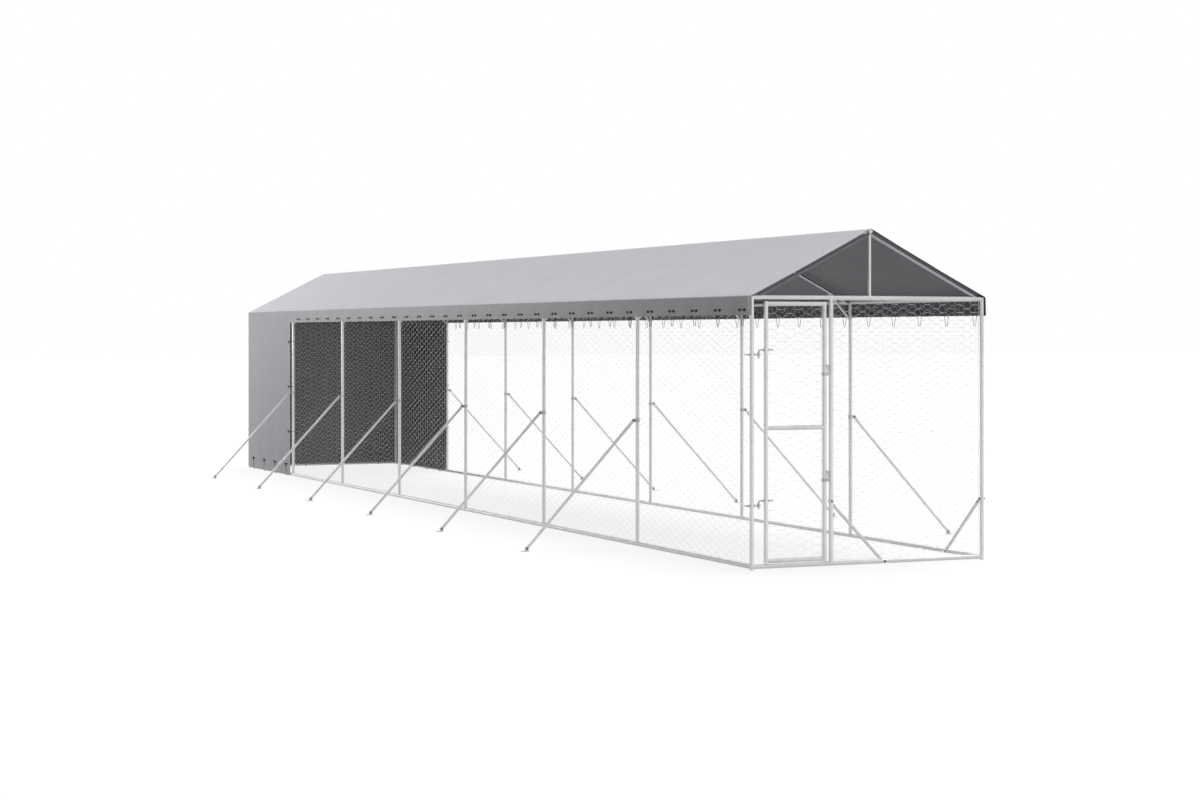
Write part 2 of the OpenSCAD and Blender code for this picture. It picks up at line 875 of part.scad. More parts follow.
// Top of a loop's leg on side s, off its centre line by d
function leg_top(s, d) = [s * (pair_w / 2 + d * cos(loop_lean) + cord_r * sin(loop_lean)),
    cord_r * cos(loop_lean) - d * sin(loop_lean)];

// Eave loop: over the sheet between two eyelets, through both and down inside to a round end
module eave_tie() {
    c = cord_r;
    y = pair_w / 2;
    x0 = cord_in - c;
    x1 = cord_out + c;
    far = [for (i = [6 : -1 : 0]) loop_end(loop_r - c)[i]];
    linear_extrude(cord_d, center = true)
        polygon([[x0, -y - c], [x1 - c, -y - c], [x1, -y], [x1, y], [x1 - c, y + c], [x0, y + c], [x0, y - c],
                 [x1 - cord_d, y - c], [x1 - cord_d, c - y], [x0, c - y]]);
    translate([cord_in, 0, 0]) rotate([90, 0, 90]) linear_extrude(cord_d, center = true)
        polygon(concat([leg_top(1, c)], loop_end(loop_r + c), [leg_top(-1, c), leg_top(-1, -c)], far,
                       [leg_top(1, -c)]));
}

module left_eave_ties() {
    color("dimgray") on_side(-1) at_eave_ties() eave_tie();
}

module right_eave_ties() {
    color("dimgray") at_eave_ties() eave_tie();
}

// Outline of a tie round a tube at the origin and up to an eyelet, d outside the cord's centre line
module tie_outline(reach, d) {
    x0 = -cord_ring - d;
    x1 = cord_in - d;
    x2 = cord_out + d;
    polygon([[x2, x0], [x2, reach + d], [x1, reach + d], [x1, -x0], [x0, -x0], [x0, x0]]);
}

// Tie round a tube at the origin, up to an eyelet at distance reach along +Y; X points out of the wall
module tube_tie(reach) {
    linear_extrude(cord_d, center = true) difference() {
        tie_outline(reach, cord_r);
        tie_outline(reach, -cord_r);
    }
}

// Outline of a cord through both eyelets of a pair, d outside its centre line
module pair_outline(d) {
    translate([cord_in - d, -pair_w / 2 - d]) square([cord_out - cord_in + 2 * d, pair_w + 2 * d]);
}

// Hem tie: a ring of cord through a pair of eyelets, with a strap down from it round the bottom rail
module hem_tie() {
    reach = hem_eyelet_z - rail_z;
    translate([0, 0, reach]) linear_extrude(cord_d, center = true) difference() {
        pair_outline(cord_r);
        pair_outline(-cord_r);
    }
    rotate([90, 0, 0]) linear_extrude(cord_d, center = true) difference() {
        tie_outline(reach, cord_r);
        tie_outline(reach + 2 * cord_d, -cord_r);
    }
}

module shelter_hem_ties() {
    color("dimgray") {
        for (side = [-1, 1]) on_side(side) at_side_hem_ties() hem_tie();
        at_rear_hem_ties() hem_tie();
    }
}

module shelter_edge_ties() {
    color("dimgray") for (side = [-1, 1]) on_side(side) at_edge_ties() tube_tie(edge_eyelet_y);
}

// Eye bolt through the corner post: the eye stands at the origin, the shank runs to -X
module hinge_eye() {
    eye_r = pin_r + pin_play + eye_wall;
    tail_x = hinge_x + tube_r + shank_tail;
    difference() {
        union() {
            cylinder(r = eye_r, h = eye_h, center = true);
            translate([-tail_x / 2, 0, 0]) rod_x(pin_r, tail_x);
        }
        cylinder(r = pin_r + pin_play, h = 2 * eye_h, center = true);
    }
}

// Pair of nuts on a shank along X that goes through a tube at the origin
module shank_nuts() {
    for (s = [-1, 1]) translate([s * (seat_r + shank_nut_h / 2), 0, 0]) rotate([0, 90, 0]) difference() {
        cylinder(d = shank_hex_d, h = shank_nut_h, center = true, $fn = 6);
        cylinder(r = pin_r + nut_play, h = 2 * shank_nut_h, center = true);
    }
}

module hinge_eyes() {
    color("darkgray") for (z = hinge_zs) translate([pin_x, front_y, z]) hinge_eye();
}

module hinge_eye_nuts() {
    color("gray") for (z = hinge_zs) translate([-half_w, front_y, z]) shank_nuts();
}

// Pintle: a pin down through the eye, a shoulder that rests on the eye and a shank through the stile
module hinge_pintle() {
    tail_x = stile_x + tube_r + shank_tail;
    bottom = -eye_h / 2 - pin_tip;
    bend_z = pintle_lift - pintle_bend;
    translate([0, 0, bottom]) cylinder(r = pin_r, h = bend_z - bottom);
    translate([0, 0, eye_h / 2 + seat_gap]) cylinder(r = shoulder_r, h = shoulder_h);
    translate([pintle_bend, 0, bend_z]) rotate([90, 0, 0]) rotate(90)
        rotate_extrude(angle = 90) translate([pintle_bend, 0]) circle(r = pin_r);
    translate([(pintle_bend + tail_x) / 2, 0, pintle_lift]) rod_x(pin_r, tail_x - pintle_bend);
}

module hinge_pintles() {
    color("darkgray") for (z = hinge_zs) translate([pin_x, front_y, z]) hinge_pintle();
}

module hinge_pintle_nuts() {
    color("gray") for (z = hinge_zs) translate([hinge_stile_x, front_y, z + pintle_lift]) shank_nuts();
}

module door_stile(x) {
    translate([x, front_y, door_z0]) tube(tube_d, door_z1 - door_z0);
}

module door_hinge_stile() {
    color("gainsboro") difference() {
        door_stile(hinge_stile_x);
        for (z = hinge_zs)
            translate([hinge_stile_x, front_y, z + pintle_lift]) rod_x(shank_hole_r, 2 * tube_d);
    }
}

module door_latch_stile() {
    color("gainsboro") door_stile(latch_stile_x);
}

door_rail_zs = [door_z0 + tube_r, mid_rail_z, door_z1 - tube_r];

module door_rails() {
    color("gainsboro") for (z = door_rail_zs) difference() {
        translate([hinge_stile_x, front_y, z]) rotate([0, 90, 0]) tube(tube_d, latch_stile_x - hinge_stile_x);
        for (x = [hinge_stile_x, latch_stile_x]) translate([x, front_y, 0]) cylinder(r = seat_r, h = tall);
    }
}

// Door netting lies behind the tubes' centres, clear of the pintles' nuts
module door_mesh() {
    back = door_net_off - net_t / 2;
    edge = sqrt(tube_r * tube_r - back * back) + seat_gap;
    side = tube_r + door_net_gap;
    w = latch_stile_x - hinge_stile_x - 2 * side;
    color("lightsteelblue") for (k = [0, 1])
        translate([hinge_stile_x + side, front_y + door_net_off, door_rail_zs[k] + edge])
            net_panel(w, door_rail_zs[k + 1] - door_rail_zs[k] - 2 * edge);
}

// Collar on the latch stile with a lug that holds the fork's pin
module latch_collar() {
    lug_t = 2 * tine_in - 3 * seat_gap;
    lug_x = fork_x - latch_stile_x;
    difference() {
        union() {
            cylinder(r = band_r, h = collar_w, center = true);
            translate([lug_x / 2, 0, 0]) cube([lug_x, lug_t, 2 * lug_r], center = true);
            translate([lug_x, 0, 0]) rod_y(lug_r, lug_t);
        }
        cylinder(r = seat_r, h = 2 * collar_w, center = true);
        translate([lug_x, 0, 0]) rod_y(fork_pin_r + pin_play, 2 * lug_t);
    }
}

module latch_collars() {
    color("darkgray") for (z = latch_zs) translate([latch_stile_x, front_y, z]) latch_collar();
}

// Fork raised past upright: a pin through the lug with a tine at each end
module latch_fork() {
    w = tine_w / 2;
    chamfer = tine_w / 4;
    rotate([0, -fork_lean, 0]) {
        rod_y(fork_pin_r, 2 * tine_in);
        for (y = [-tine_in - tine_t, tine_in])
            along_y(y, y + tine_t)
                polygon([[chamfer - w, -w], [w - chamfer, -w], [w, chamfer - w], [w, fork_l - w], [0, fork_l],
                         [-w, fork_l - w], [-w, chamfer - w]]);
    }
}

module upper_latch_fork() {
    color("darkgray") translate([fork_x, front_y, upper_latch_z]) latch_fork();
}

module lower_latch_fork() {
    color("darkgray") translate([fork_x, front_y, lower_latch_z]) latch_fork();
}

corner_posts();
left_posts();
right_posts();
left_bottom_rails();
right_bottom_rails();
left_eave_rails();
right_eave_rails();
front_bottom_rail();
front_top_rail();
rear_bottom_rail();
rear_top_rail();
latch_post();
left_braces();
right_braces();
left_brace_clamps();
right_brace_clamps();
left_foot_plates();
right_foot_plates();
front_corner_brace();
side_corner_brace();
frame_bolts();
frame_nuts();
left_rafters();
right_rafters();
left_knees();
right_knees();
ridge_tubes();
ridge_hangers();
king_posts();
left_mesh();
right_mesh();
rear_mesh();
front_mesh();
left_roof();
right_roof();
left_valance();
right_valance();
shelter_left();
shelter_right();
shelter_rear();
eave_eyelets();
shelter_eyelets();
left_eave_ties();
right_eave_ties();
shelter_hem_ties();
shelter_edge_ties();
hinge_eyes();
hinge_eye_nuts();
door_hinge_stile();
door_latch_stile();
door_rails();
door_mesh();
hinge_pintles();
hinge_pintle_nuts();
latch_collars();
upper_latch_fork();
lower_latch_fork();
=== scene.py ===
import math

import bpy
import numpy as np
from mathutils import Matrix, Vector


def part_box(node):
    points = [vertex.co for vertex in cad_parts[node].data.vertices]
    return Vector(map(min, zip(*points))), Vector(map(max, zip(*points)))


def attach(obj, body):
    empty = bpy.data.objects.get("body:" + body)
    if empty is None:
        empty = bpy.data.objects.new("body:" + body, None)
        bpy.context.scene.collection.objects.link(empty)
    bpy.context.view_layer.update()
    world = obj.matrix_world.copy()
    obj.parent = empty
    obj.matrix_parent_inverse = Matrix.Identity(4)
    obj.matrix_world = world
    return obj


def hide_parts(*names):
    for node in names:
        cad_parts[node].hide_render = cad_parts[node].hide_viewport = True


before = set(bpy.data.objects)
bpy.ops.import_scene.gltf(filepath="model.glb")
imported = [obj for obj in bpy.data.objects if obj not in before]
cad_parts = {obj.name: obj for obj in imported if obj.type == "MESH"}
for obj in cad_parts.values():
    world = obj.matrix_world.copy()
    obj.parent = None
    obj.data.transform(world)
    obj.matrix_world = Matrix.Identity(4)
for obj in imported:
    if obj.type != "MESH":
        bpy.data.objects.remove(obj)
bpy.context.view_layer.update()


# Camera: the photograph's own view, found from the posts and rails in it.
# The horizon lies above the middle of the picture, so the lens is shifted and the camera is level.
CAMERA_PLACE = (-8.65545, -21.76725, 1.71437)
CAMERA_YAW = 23.6266
PHOTO_W = 1200
FOCAL_PX = 2289.2
HORIZON_ABOVE_MIDDLE_PX = 65.76
SENSOR_MM = 36
FAR_LIMIT = 500

camera = bpy.data.objects.new("camera", bpy.data.cameras.new("camera"))
camera.data.sensor_width = SENSOR_MM
camera.data.lens = SENSOR_MM * FOCAL_PX / PHOTO_W
camera.data.shift_y = -HORIZON_ABOVE_MIDDLE_PX / PHOTO_W
camera.data.clip_end = FAR_LIMIT
camera.location = CAMERA_PLACE
camera.rotation_euler = (math.radians(90), 0, -math.radians(CAMERA_YAW))
bpy.context.scene.collection.objects.link(camera)
bpy.context.scene.camera = camera
bpy.context.scene.view_settings.view_transform = "Standard"


# Studio: a white room with a broad dark screen to the left of the run, which ends a little above the horizon,
# one soft light overhead and a panel light beside the shelter.
ROOM_WHITE = "#FFFFFF"
SCREEN_GREY = "#2C2D2F"
SCREEN_WAY = (-1.0, -0.1, 0.0)
SCREEN_SIDE = (0.08, 0.55)
SCREEN_FOOT = (0.05, 0.09)
KEY_STRENGTH = 3.8
KEY_ANGLE = 35
KEY_TILT = (-12, 16, 0)
PANEL_PLACE = (-5.5, 9.5, 3.0)
PANEL_AIM = (-1.0, 6.0, 1.0)
PANEL_SIZE = 3.0
PANEL_POWER = 250


def rgb(code):
    """Linear colour of a hex sRGB code."""
    parts = [int(code[i : i + 2], 16) / 255 for i in (1, 3, 5)]
    return tuple(c / 12.92 if c <= 0.04045 else ((c + 0.055) / 1.055) ** 2.4 for c in parts) + (1.0,)


def add(tree, kind, settings=None, links=None):
    """Adds a shader node with its settings and with the outputs that feed its inputs."""
    node = tree.nodes.new(kind)
    for key, value in (settings or {}).items():
        if isinstance(key, str) and hasattr(node, key):
            setattr(node, key, value)
        else:
            node.inputs[key].default_value = value
    for key, (source, output) in (links or {}).items():
        tree.links.new(source.outputs[output], node.inputs[key])
    return node


def ramp(tree, source, stops):
    """Colour ramp over a value: stops are pairs of position and hex colour."""
    node = add(tree, "ShaderNodeValToRGB", links={"Fac": source})
    points = node.color_ramp.elements
    while len(points) < len(stops):
        points.new(0.5)
    for point, (place, code) in zip(points, stops):
        point.position = place
        point.color = rgb(code)
    return node


def fade(tree, source, limits):
    """A value turned into a share from 0 to 1 between two limits."""
    return add(tree, "ShaderNodeMapRange", {"From Min": limits[0], "From Max": limits[1]}, {"Value": source})


def combine(tree, operation, a, b):
    """Two values put together by an operation."""
    return add(tree, "ShaderNodeMath", {"operation": operation}, {0: a, 1: b})


def add_light(name, kind, energy):
    """A lamp of a kind, linked to the scene."""
    lamp = bpy.data.objects.new(name, bpy.data.lights.new(name, kind))
    lamp.data.energy = energy
    bpy.context.scene.collection.objects.link(lamp)
    return lamp


world = bpy.data.worlds.new("studio")
bpy.context.scene.world = world
world.use_nodes = True
room = world.node_tree
room.nodes.clear()
where = add(room, "ShaderNodeTexCoord")
facing = add(
    room, "ShaderNodeVectorMath", {"operation": "DOT_PRODUCT", 1: SCREEN_WAY}, {0: (where, "Generated")}
)
level = add(room, "ShaderNodeSeparateXYZ", links={"Vector": (where, "Generated")})
beside = fade(room, (facing, "Value"), SCREEN_SIDE)
above = fade(room, (level, "Z"), SCREEN_FOOT)
screen = combine(room, "MULTIPLY", (beside, "Result"), (above, "Result"))
tone = ramp(room, (screen, "Value"), [(0.0, ROOM_WHITE), (1.0, SCREEN_GREY)])
sky = add(room, "ShaderNodeBackground", {"Strength": 1.0}, {"Color": (tone, "Color")})
add(room, "ShaderNodeOutputWorld", links={"Surface": (sky, "Background")})

key = add_light("key_light", "SUN", KEY_STRENGTH)
key.data.angle = math.radians(KEY_ANGLE)
key.rotation_euler = [math.radians(a) for a in KEY_TILT]
panel = add_light("panel_light", "AREA", PANEL_POWER)
panel.data.size = PANEL_SIZE
panel.location = PANEL_PLACE
panel.rotation_euler = (Vector(PANEL_AIM) - Vector(PANEL_PLACE)).to_track_quat("-Z", "Y").to_euler()


# Floor: a plain pale sheet that glows white in the picture and in reflections, and throws only a little light
# up at the run. Its thin matt coat keeps the run's shadow.
FLOOR_SIZE = 300
FLOOR_DROP = 0.0005
FLOOR_CLOUD_MM = 900
FLOOR_GLOW = 0.9
FLOOR_BOUNCE = 0.2


def per_metre(millimetres):
    """Texture scale that gives a pattern of this size, for coordinates in metres."""
    return 1000 / millimetres


def noise(tree, place, size_mm, detail):
    """Noise of a real size, at a place that is given in metres."""
    return add(tree, "ShaderNodeTexNoise", {"Scale": per_metre(size_mm), "Detail": detail}, {"Vector": place})


def new_material(name):
    """An empty material with its output node."""
    material = bpy.data.materials.new(name)
    material.use_nodes = True
    material.node_tree.nodes.clear()
    return material, material.node_tree, add(material.node_tree, "ShaderNodeOutputMaterial")


def make_object(name, points, faces, material, smooth=False):
    """A mesh object from points in metres and faces, linked to the scene."""
    mesh = bpy.data.meshes.new(name)
    mesh.from_pydata([tuple(p) for p in points], [], [tuple(int(i) for i in f) for f in faces])
    mesh.materials.append(material)
    if smooth:
        mesh.polygons.foreach_set("use_smooth", [True] * len(mesh.polygons))
    obj = bpy.data.objects.new(name, mesh)
    bpy.context.scene.collection.objects.link(obj)
    return obj


floor_look, tree, output = new_material("pale_floor")
spot = add(tree, "ShaderNodeTexCoord")
cloud = noise(tree, (spot, "Object"), FLOOR_CLOUD_MM, 3.0)
paint = ramp(tree, (cloud, "Fac"), [(0.3, "#FAFAFA"), (0.7, "#FCFCFC")])
coat = add(tree, "ShaderNodeBsdfDiffuse", links={"Color": (paint, "Color")})
ray = add(tree, "ShaderNodeLightPath")
mirrored = combine(tree, "MAXIMUM", (ray, "Is Glossy Ray"), (ray, "Is Transmission Ray"))
seen = combine(tree, "MAXIMUM", (ray, "Is Camera Ray"), (mirrored, "Value"))
shine = add(tree, "ShaderNodeMapRange", {"To Min": FLOOR_BOUNCE, "To Max": 1.0}, {"Value": (seen, "Value")})
glow = add(tree, "ShaderNodeEmission", links={"Color": (paint, "Color"), "Strength": (shine, "Result")})
lit_floor = add(tree, "ShaderNodeMixShader", {"Fac": FLOOR_GLOW}, {1: (coat, "BSDF"), 2: (glow, "Emission")})
tree.links.new(lit_floor.outputs["Shader"], output.inputs["Surface"])
half = FLOOR_SIZE / 2
floor = make_object(
    "floor",
    [(-half, -half, 0), (half, -half, 0), (half, half, 0), (-half, half, 0)],
    [(0, 1, 2, 3)],
    floor_look,
)
floor.location.z = -FLOOR_DROP


# Tube frame: hot-dip galvanised steel tube with the pale patches and soft streaks of the zinc. Posts and
# stiles are satin, rails and braces more matt. The rafters carry painted shade: the right ones a darker
# mirror-bright tint, the left ones a dull dark grey, for the shade under the roof. All of them are the solids
# themselves.
POST_NODES = (
    "corner_posts left_posts right_posts latch_post king_posts door_hinge_stile door_latch_stile"
).split()
RAIL_NODES = (
    "left_bottom_rails right_bottom_rails left_eave_rails right_eave_rails front_bottom_rail front_top_rail "
    "rear_bottom_rail rear_top_rail left_braces right_braces front_corner_brace side_corner_brace left_knees "
    "right_knees ridge_tubes ridge_hangers door_rails"
).split()
SPANGLE_MM = 9
SPANGLE_SHARE = 0.22
STREAK_MM = 160
SKIN_MM = 5


def zinc(name, pale, mid, dark, spangle_mm, roughness, metallic=0.55):
    """Galvanised steel: crystals of the zinc, cloudy patches and a finely uneven skin."""
    material, tree, output = new_material(name)
    place = add(tree, "ShaderNodeTexCoord")
    crystal = add(
        tree, "ShaderNodeTexVoronoi", {"Scale": per_metre(spangle_mm)}, {"Vector": (place, "Object")}
    )
    cloud = add(
        tree,
        "ShaderNodeTexNoise",
        {"Scale": per_metre(STREAK_MM), "Detail": 5.0, "Roughness": 0.6},
        {"Vector": (place, "Object")},
    )
    grey = add(tree, "ShaderNodeSeparateColor", links={"Color": (crystal, "Color")})
    mix = add(
        tree,
        "ShaderNodeMath",
        {"operation": "MULTIPLY_ADD", 1: SPANGLE_SHARE},
        {0: (grey, "Red"), 2: (cloud, "Fac")},
    )
    colour = ramp(tree, (mix, "Value"), [(0.35, dark), (0.6, mid), (0.85, pale)])
    rough = add(
        tree,
        "ShaderNodeMapRange",
        {"From Min": 0.3, "From Max": 0.9, "To Min": roughness - 0.08, "To Max": roughness + 0.1},
        {"Value": (mix, "Value")},
    )
    skin = noise(tree, (place, "Object"), SKIN_MM, 2.0)
    bump = add(
        tree, "ShaderNodeBump", {"Strength": 0.12, "Distance": 0.0002}, {"Height": (skin, "Fac")}
    )
    metal = add(
        tree,
        "ShaderNodeBsdfPrincipled",
        {"Metallic": metallic},
        {"Base Color": (colour, "Color"), "Roughness": (rough, "Result"), "Normal": (bump, "Normal")},
    )
    tree.links.new(metal.outputs["BSDF"], output.inputs["Surface"])
    return material


def dress(names, material):
    """Gives CAD nodes a material."""
    for name in names:
        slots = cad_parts[name].data.materials
        slots.clear()
        slots.append(material)


dress(POST_NODES, zinc("galvanised_steel_tube", "#F0F0F1", "#E8E9EA", "#DADBDD", SPANGLE_MM, 0.36, 0.7))
dress(RAIL_NODES, zinc("matt_galvanised_tube", "#FAFAFB", "#F2F2F3", "#E6E7E9", SPANGLE_MM, 0.42, 0.3))
# Painted shade: the right rafters are a darker copy of the tube, mirror-bright, for the shade under the roof.
right_rafter_painted_shade_tube = zinc("right_rafter_tube_painted_shade", "#A6A7AA", "#9B9C9F", "#8D8E92", SPANGLE_MM, 0.25, 0.95)
dress(["right_rafters"], right_rafter_painted_shade_tube)
# Painted shade: the left rafters are a dull dark copy of the tube, so they sit in the shade under the roof.
left_rafter_painted_shade_tube = zinc("left_rafter_tube_painted_shade", "#85868A", "#7D7E82", "#747579", SPANGLE_MM, 0.6, 0.1)
dress(["left_rafters"], left_rafter_painted_shade_tube)


# Fittings: brace clamps, foot plates, hinge bolts and their nuts, collars and forks of zinc-plated steel, a
# little darker and finer grained than the tubes; the frame's bolts and nuts have a black finish.
FITTING_NODES = (
    "left_brace_clamps right_brace_clamps left_foot_plates right_foot_plates hinge_eyes hinge_pintles "
    "latch_collars upper_latch_fork lower_latch_fork hinge_eye_nuts hinge_pintle_nuts"
).split()
BOLT_NODES = ["frame_bolts", "frame_nuts"]
FITTING_SPANGLE_MM = 4
WORN_MM = 7


def black_finish(name, pale, dark):
    """Blackened steel: a dull dark skin with worn, slightly paler and smoother patches."""
    material, tree, output = new_material(name)
    place = add(tree, "ShaderNodeTexCoord")
    worn = noise(tree, (place, "Object"), WORN_MM, 4.0)
    colour = ramp(tree, (worn, "Fac"), [(0.4, dark), (0.7, pale)])
    rough = add(
        tree, "ShaderNodeMapRange", {"To Min": 0.75, "To Max": 0.5}, {"Value": (worn, "Fac")}
    )
    bump = add(tree, "ShaderNodeBump", {"Strength": 0.1, "Distance": 0.0002}, {"Height": (worn, "Fac")})
    skin = add(
        tree,
        "ShaderNodeBsdfPrincipled",
        {"Specular IOR Level": 0.25},
        {"Base Color": (colour, "Color"), "Roughness": (rough, "Result"), "Normal": (bump, "Normal")},
    )
    tree.links.new(skin.outputs["BSDF"], output.inputs["Surface"])
    return material


dress(FITTING_NODES, zinc("zinc_plated_steel", "#DCDDDF", "#CBCCCE", "#B4B6B8", FITTING_SPANGLE_MM, 0.36))
dress(BOLT_NODES, black_finish("blackened_steel_bolt", "#3A3A3B", "#222223"))


# Netting: hexagonal galvanised wire netting, woven so that two wires are twisted together along the level
# side of each cell. Each panel has a straight edge wire and fills the room between the tubes round it.
BAYS = 7
BAY = 1.995
HALF_W = 0.984
TUBE_R = 0.016
FRONT_Y = -6.97865
REAR_Y = FRONT_Y + BAYS * BAY
RAIL_Z = 0.024
EAVE_Z = 1.984
SEAT_GAP = 0.0003
WIRE_R = 0.0008
TWIST_R = 0.0014
SELVAGE_R = 0.0012
CELL_W = 0.071
CELL_H = 0.058
CELL_FLAT = 0.042
NET_GAP = 0.008
TWIST_SIDES = 4
WIRE_SIDES = 3
SELVAGE_SIDES = 6
HALF_TURN = [(0, 0), (0.5, 90), (1, 180)]
STRAIGHT = [(0, 0), (1, 0)]
STEEP = 0.9
SHORTEST_SHARE = 0.02
NEARLY_NIL = 1e-9
WIRE_SPANGLE_MM = 3
wire_zinc = zinc("galvanised_wire", "#FAFAFB", "#F4F4F5", "#EAEAEB", WIRE_SPANGLE_MM, 0.45, 0.8)


def sweep(starts, ends, width, height, sides, turns):
    """Straight rods between points, with an oval section that turns by a step at each ring."""
    starts, ends = np.asarray(starts, float), np.asarray(ends, float)
    along = ends - starts
    along /= np.linalg.norm(along, axis=1)[:, None]
    aside = np.cross(along, np.where(np.abs(along[:, 2:3]) > STEEP, [[1.0, 0, 0]], [[0, 0, 1.0]]))
    aside /= np.linalg.norm(aside, axis=1)[:, None]
    over = np.cross(along, aside)
    rings = []
    for place, turn in turns:
        middle = starts + (ends - starts) * place
        for k in range(sides):
            a = 2 * math.pi * k / sides
            u, v = width * math.cos(a), height * math.sin(a)
            spin = math.radians(turn)
            x = u * math.cos(spin) - v * math.sin(spin)
            y = u * math.sin(spin) + v * math.cos(spin)
            rings.append(middle + aside * x + over * y)
    points = np.stack(rings, axis=1).reshape(-1, 3)
    block = len(turns) * sides
    pattern = [
        (r * sides + k, r * sides + (k + 1) % sides, (r + 1) * sides + (k + 1) % sides, (r + 1) * sides + k)
        for r in range(len(turns) - 1)
        for k in range(sides)
    ]
    faces = (np.arange(len(starts))[:, None, None] * block + np.array(pattern)[None]).reshape(-1, 4)
    return points, faces


def clip(starts, ends, width, height):
    """The parts of level or slanted wires that lie inside a panel."""
    low, high = np.zeros(len(starts)), np.ones(len(starts))
    step = ends - starts
    for axis, limit in ((0, width), (1, height)):
        flat = np.abs(step[:, axis]) < NEARLY_NIL
        rise = np.where(flat, 1.0, step[:, axis])
        a, b = -starts[:, axis] / rise, (limit - starts[:, axis]) / rise
        inside = (starts[:, axis] > -NEARLY_NIL) & (starts[:, axis] < limit + NEARLY_NIL)
        low = np.maximum(low, np.where(flat, np.where(inside, 0, 1), np.minimum(a, b)))
        high = np.minimum(high, np.where(flat, np.where(inside, 1, 0), np.maximum(a, b)))
    keep = high - low > SHORTEST_SHARE
    return (starts + step * low[:, None])[keep], (starts + step * high[:, None])[keep]


def netting(width, height):
    """Twists and slanted wires of one panel of netting, in its own plane."""
    columns, rows = round(width / CELL_W), round(height / CELL_H)
    pitch, tall = width / columns, height / rows
    flat = CELL_FLAT * pitch / CELL_W / 2
    cells = np.meshgrid(np.arange(-1, columns + 1), np.arange(-1, rows + 1), indexing="ij")
    c, r = (g.ravel() for g in cells)
    x, z = (c + 0.5) * pitch, (r + 0.5 * (c % 2)) * tall
    twists = clip(np.stack([x - flat, z], 1), np.stack([x + flat, z], 1), width, height)
    end = np.stack([x + flat, z], 1)
    slants = [clip(end, end + [pitch - 2 * flat, s * tall / 2], width, height) for s in (-1, 1)]
    return twists, [np.concatenate(both) for both in zip(*slants)]


def net_mesh(panels):
    """Points and faces of netting in panels, each given by its corner, its level direction and its size."""
    points, faces, count = [], [], 0
    for corner, level, width, height in panels:
        corner, level = np.array(corner), np.array(level, float)

        def placed(flat):
            return corner + flat[:, :1] * level + flat[:, 1:] * np.array([0, 0, 1.0])

        twists, slants = netting(width, height)
        rim = np.array([[0, 0], [width, 0], [width, height], [0, height], [0, 0]])
        for (a, b), sizes in (
            (twists, (TWIST_R, WIRE_R, TWIST_SIDES, HALF_TURN)),
            (slants, (WIRE_R, WIRE_R, WIRE_SIDES, STRAIGHT)),
            ((rim[:-1], rim[1:]), (SELVAGE_R, SELVAGE_R, SELVAGE_SIDES, STRAIGHT)),
        ):
            p, f = sweep(placed(a), placed(b), *sizes)
            points.append(p)
            faces.append(f + count)
            count += len(p)
    return np.concatenate(points), np.concatenate(faces)


def big_object(name, points, faces, material):
    """A mesh object from large arrays of points and four-sided faces."""
    mesh = bpy.data.meshes.new(name)
    mesh.vertices.add(len(points))
    mesh.vertices.foreach_set("co", points.astype(np.float32).ravel())
    mesh.loops.add(faces.size)
    mesh.loops.foreach_set("vertex_index", faces.astype(np.int32).ravel())
    mesh.polygons.add(len(faces))
    mesh.polygons.foreach_set("loop_start", np.arange(0, faces.size, 4, dtype=np.int32))
    mesh.update(calc_edges=True)
    mesh.validate()
    mesh.polygons.foreach_set("use_smooth", [True] * len(mesh.polygons))
    mesh.materials.append(material)
    obj = bpy.data.objects.new(name, mesh)
    bpy.context.scene.collection.objects.link(obj)
    return obj


def add_net(name, body, nodes, panels):
    """Netting that stands for the coarse nets of some nodes."""
    obj = big_object(name, *net_mesh(panels), wire_zinc)
    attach(obj, body)
    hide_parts(*nodes)
    return obj


NET_Z0 = RAIL_Z + TUBE_R + NET_GAP
NET_H = EAVE_Z - TUBE_R - SEAT_GAP - SELVAGE_R - NET_Z0
SIDE_W = BAY - 2 * (TUBE_R + NET_GAP)
LATCH_POST_IN = 0.656
LATCH_X = -HALF_W + LATCH_POST_IN
FRONT_NET_RIGHT_GAP = 0.0127

for side, name in ((-1, "left"), (1, "right")):
    rows = [
        ((side * HALF_W, FRONT_Y + i * BAY + TUBE_R + NET_GAP, NET_Z0), (0, 1, 0), SIDE_W, NET_H)
        for i in range(BAYS)
    ]
    add_net(name + "_netting", "run", [name + "_mesh"], rows)
inset = TUBE_R + NET_GAP
add_net(
    "rear_netting", "run", ["rear_mesh"],
    [((-HALF_W + inset, REAR_Y, NET_Z0), (1, 0, 0), 2 * (HALF_W - inset), NET_H)],
)
front_w = HALF_W - LATCH_X - 2 * TUBE_R - NET_GAP - FRONT_NET_RIGHT_GAP
add_net(
    "front_netting", "run", ["front_mesh"],
    [((LATCH_X + inset, FRONT_Y, NET_Z0), (1, 0, 0), front_w, NET_H)],
)

HINGE_STILE_X = -0.868
LATCH_STILE_X = -0.382
DOOR_RAIL_ZS = (0.062, 1.030, 1.938)
DOOR_NET_BACK = 0.0126
DOOR_NET_Y = FRONT_Y + DOOR_NET_BACK
DOOR_NET_SIDE = 0.020
DOOR_NET_EDGE = 0.0135
add_net(
    "door_netting", "door", ["door_mesh"],
    [
        ((HINGE_STILE_X + DOOR_NET_SIDE, DOOR_NET_Y, low + DOOR_NET_EDGE), (1, 0, 0),
         LATCH_STILE_X - HINGE_STILE_X - 2 * DOOR_NET_SIDE, high - low - 2 * DOOR_NET_EDGE)
        for low, high in zip(DOOR_RAIL_ZS, DOOR_RAIL_ZS[1:])
    ],
)


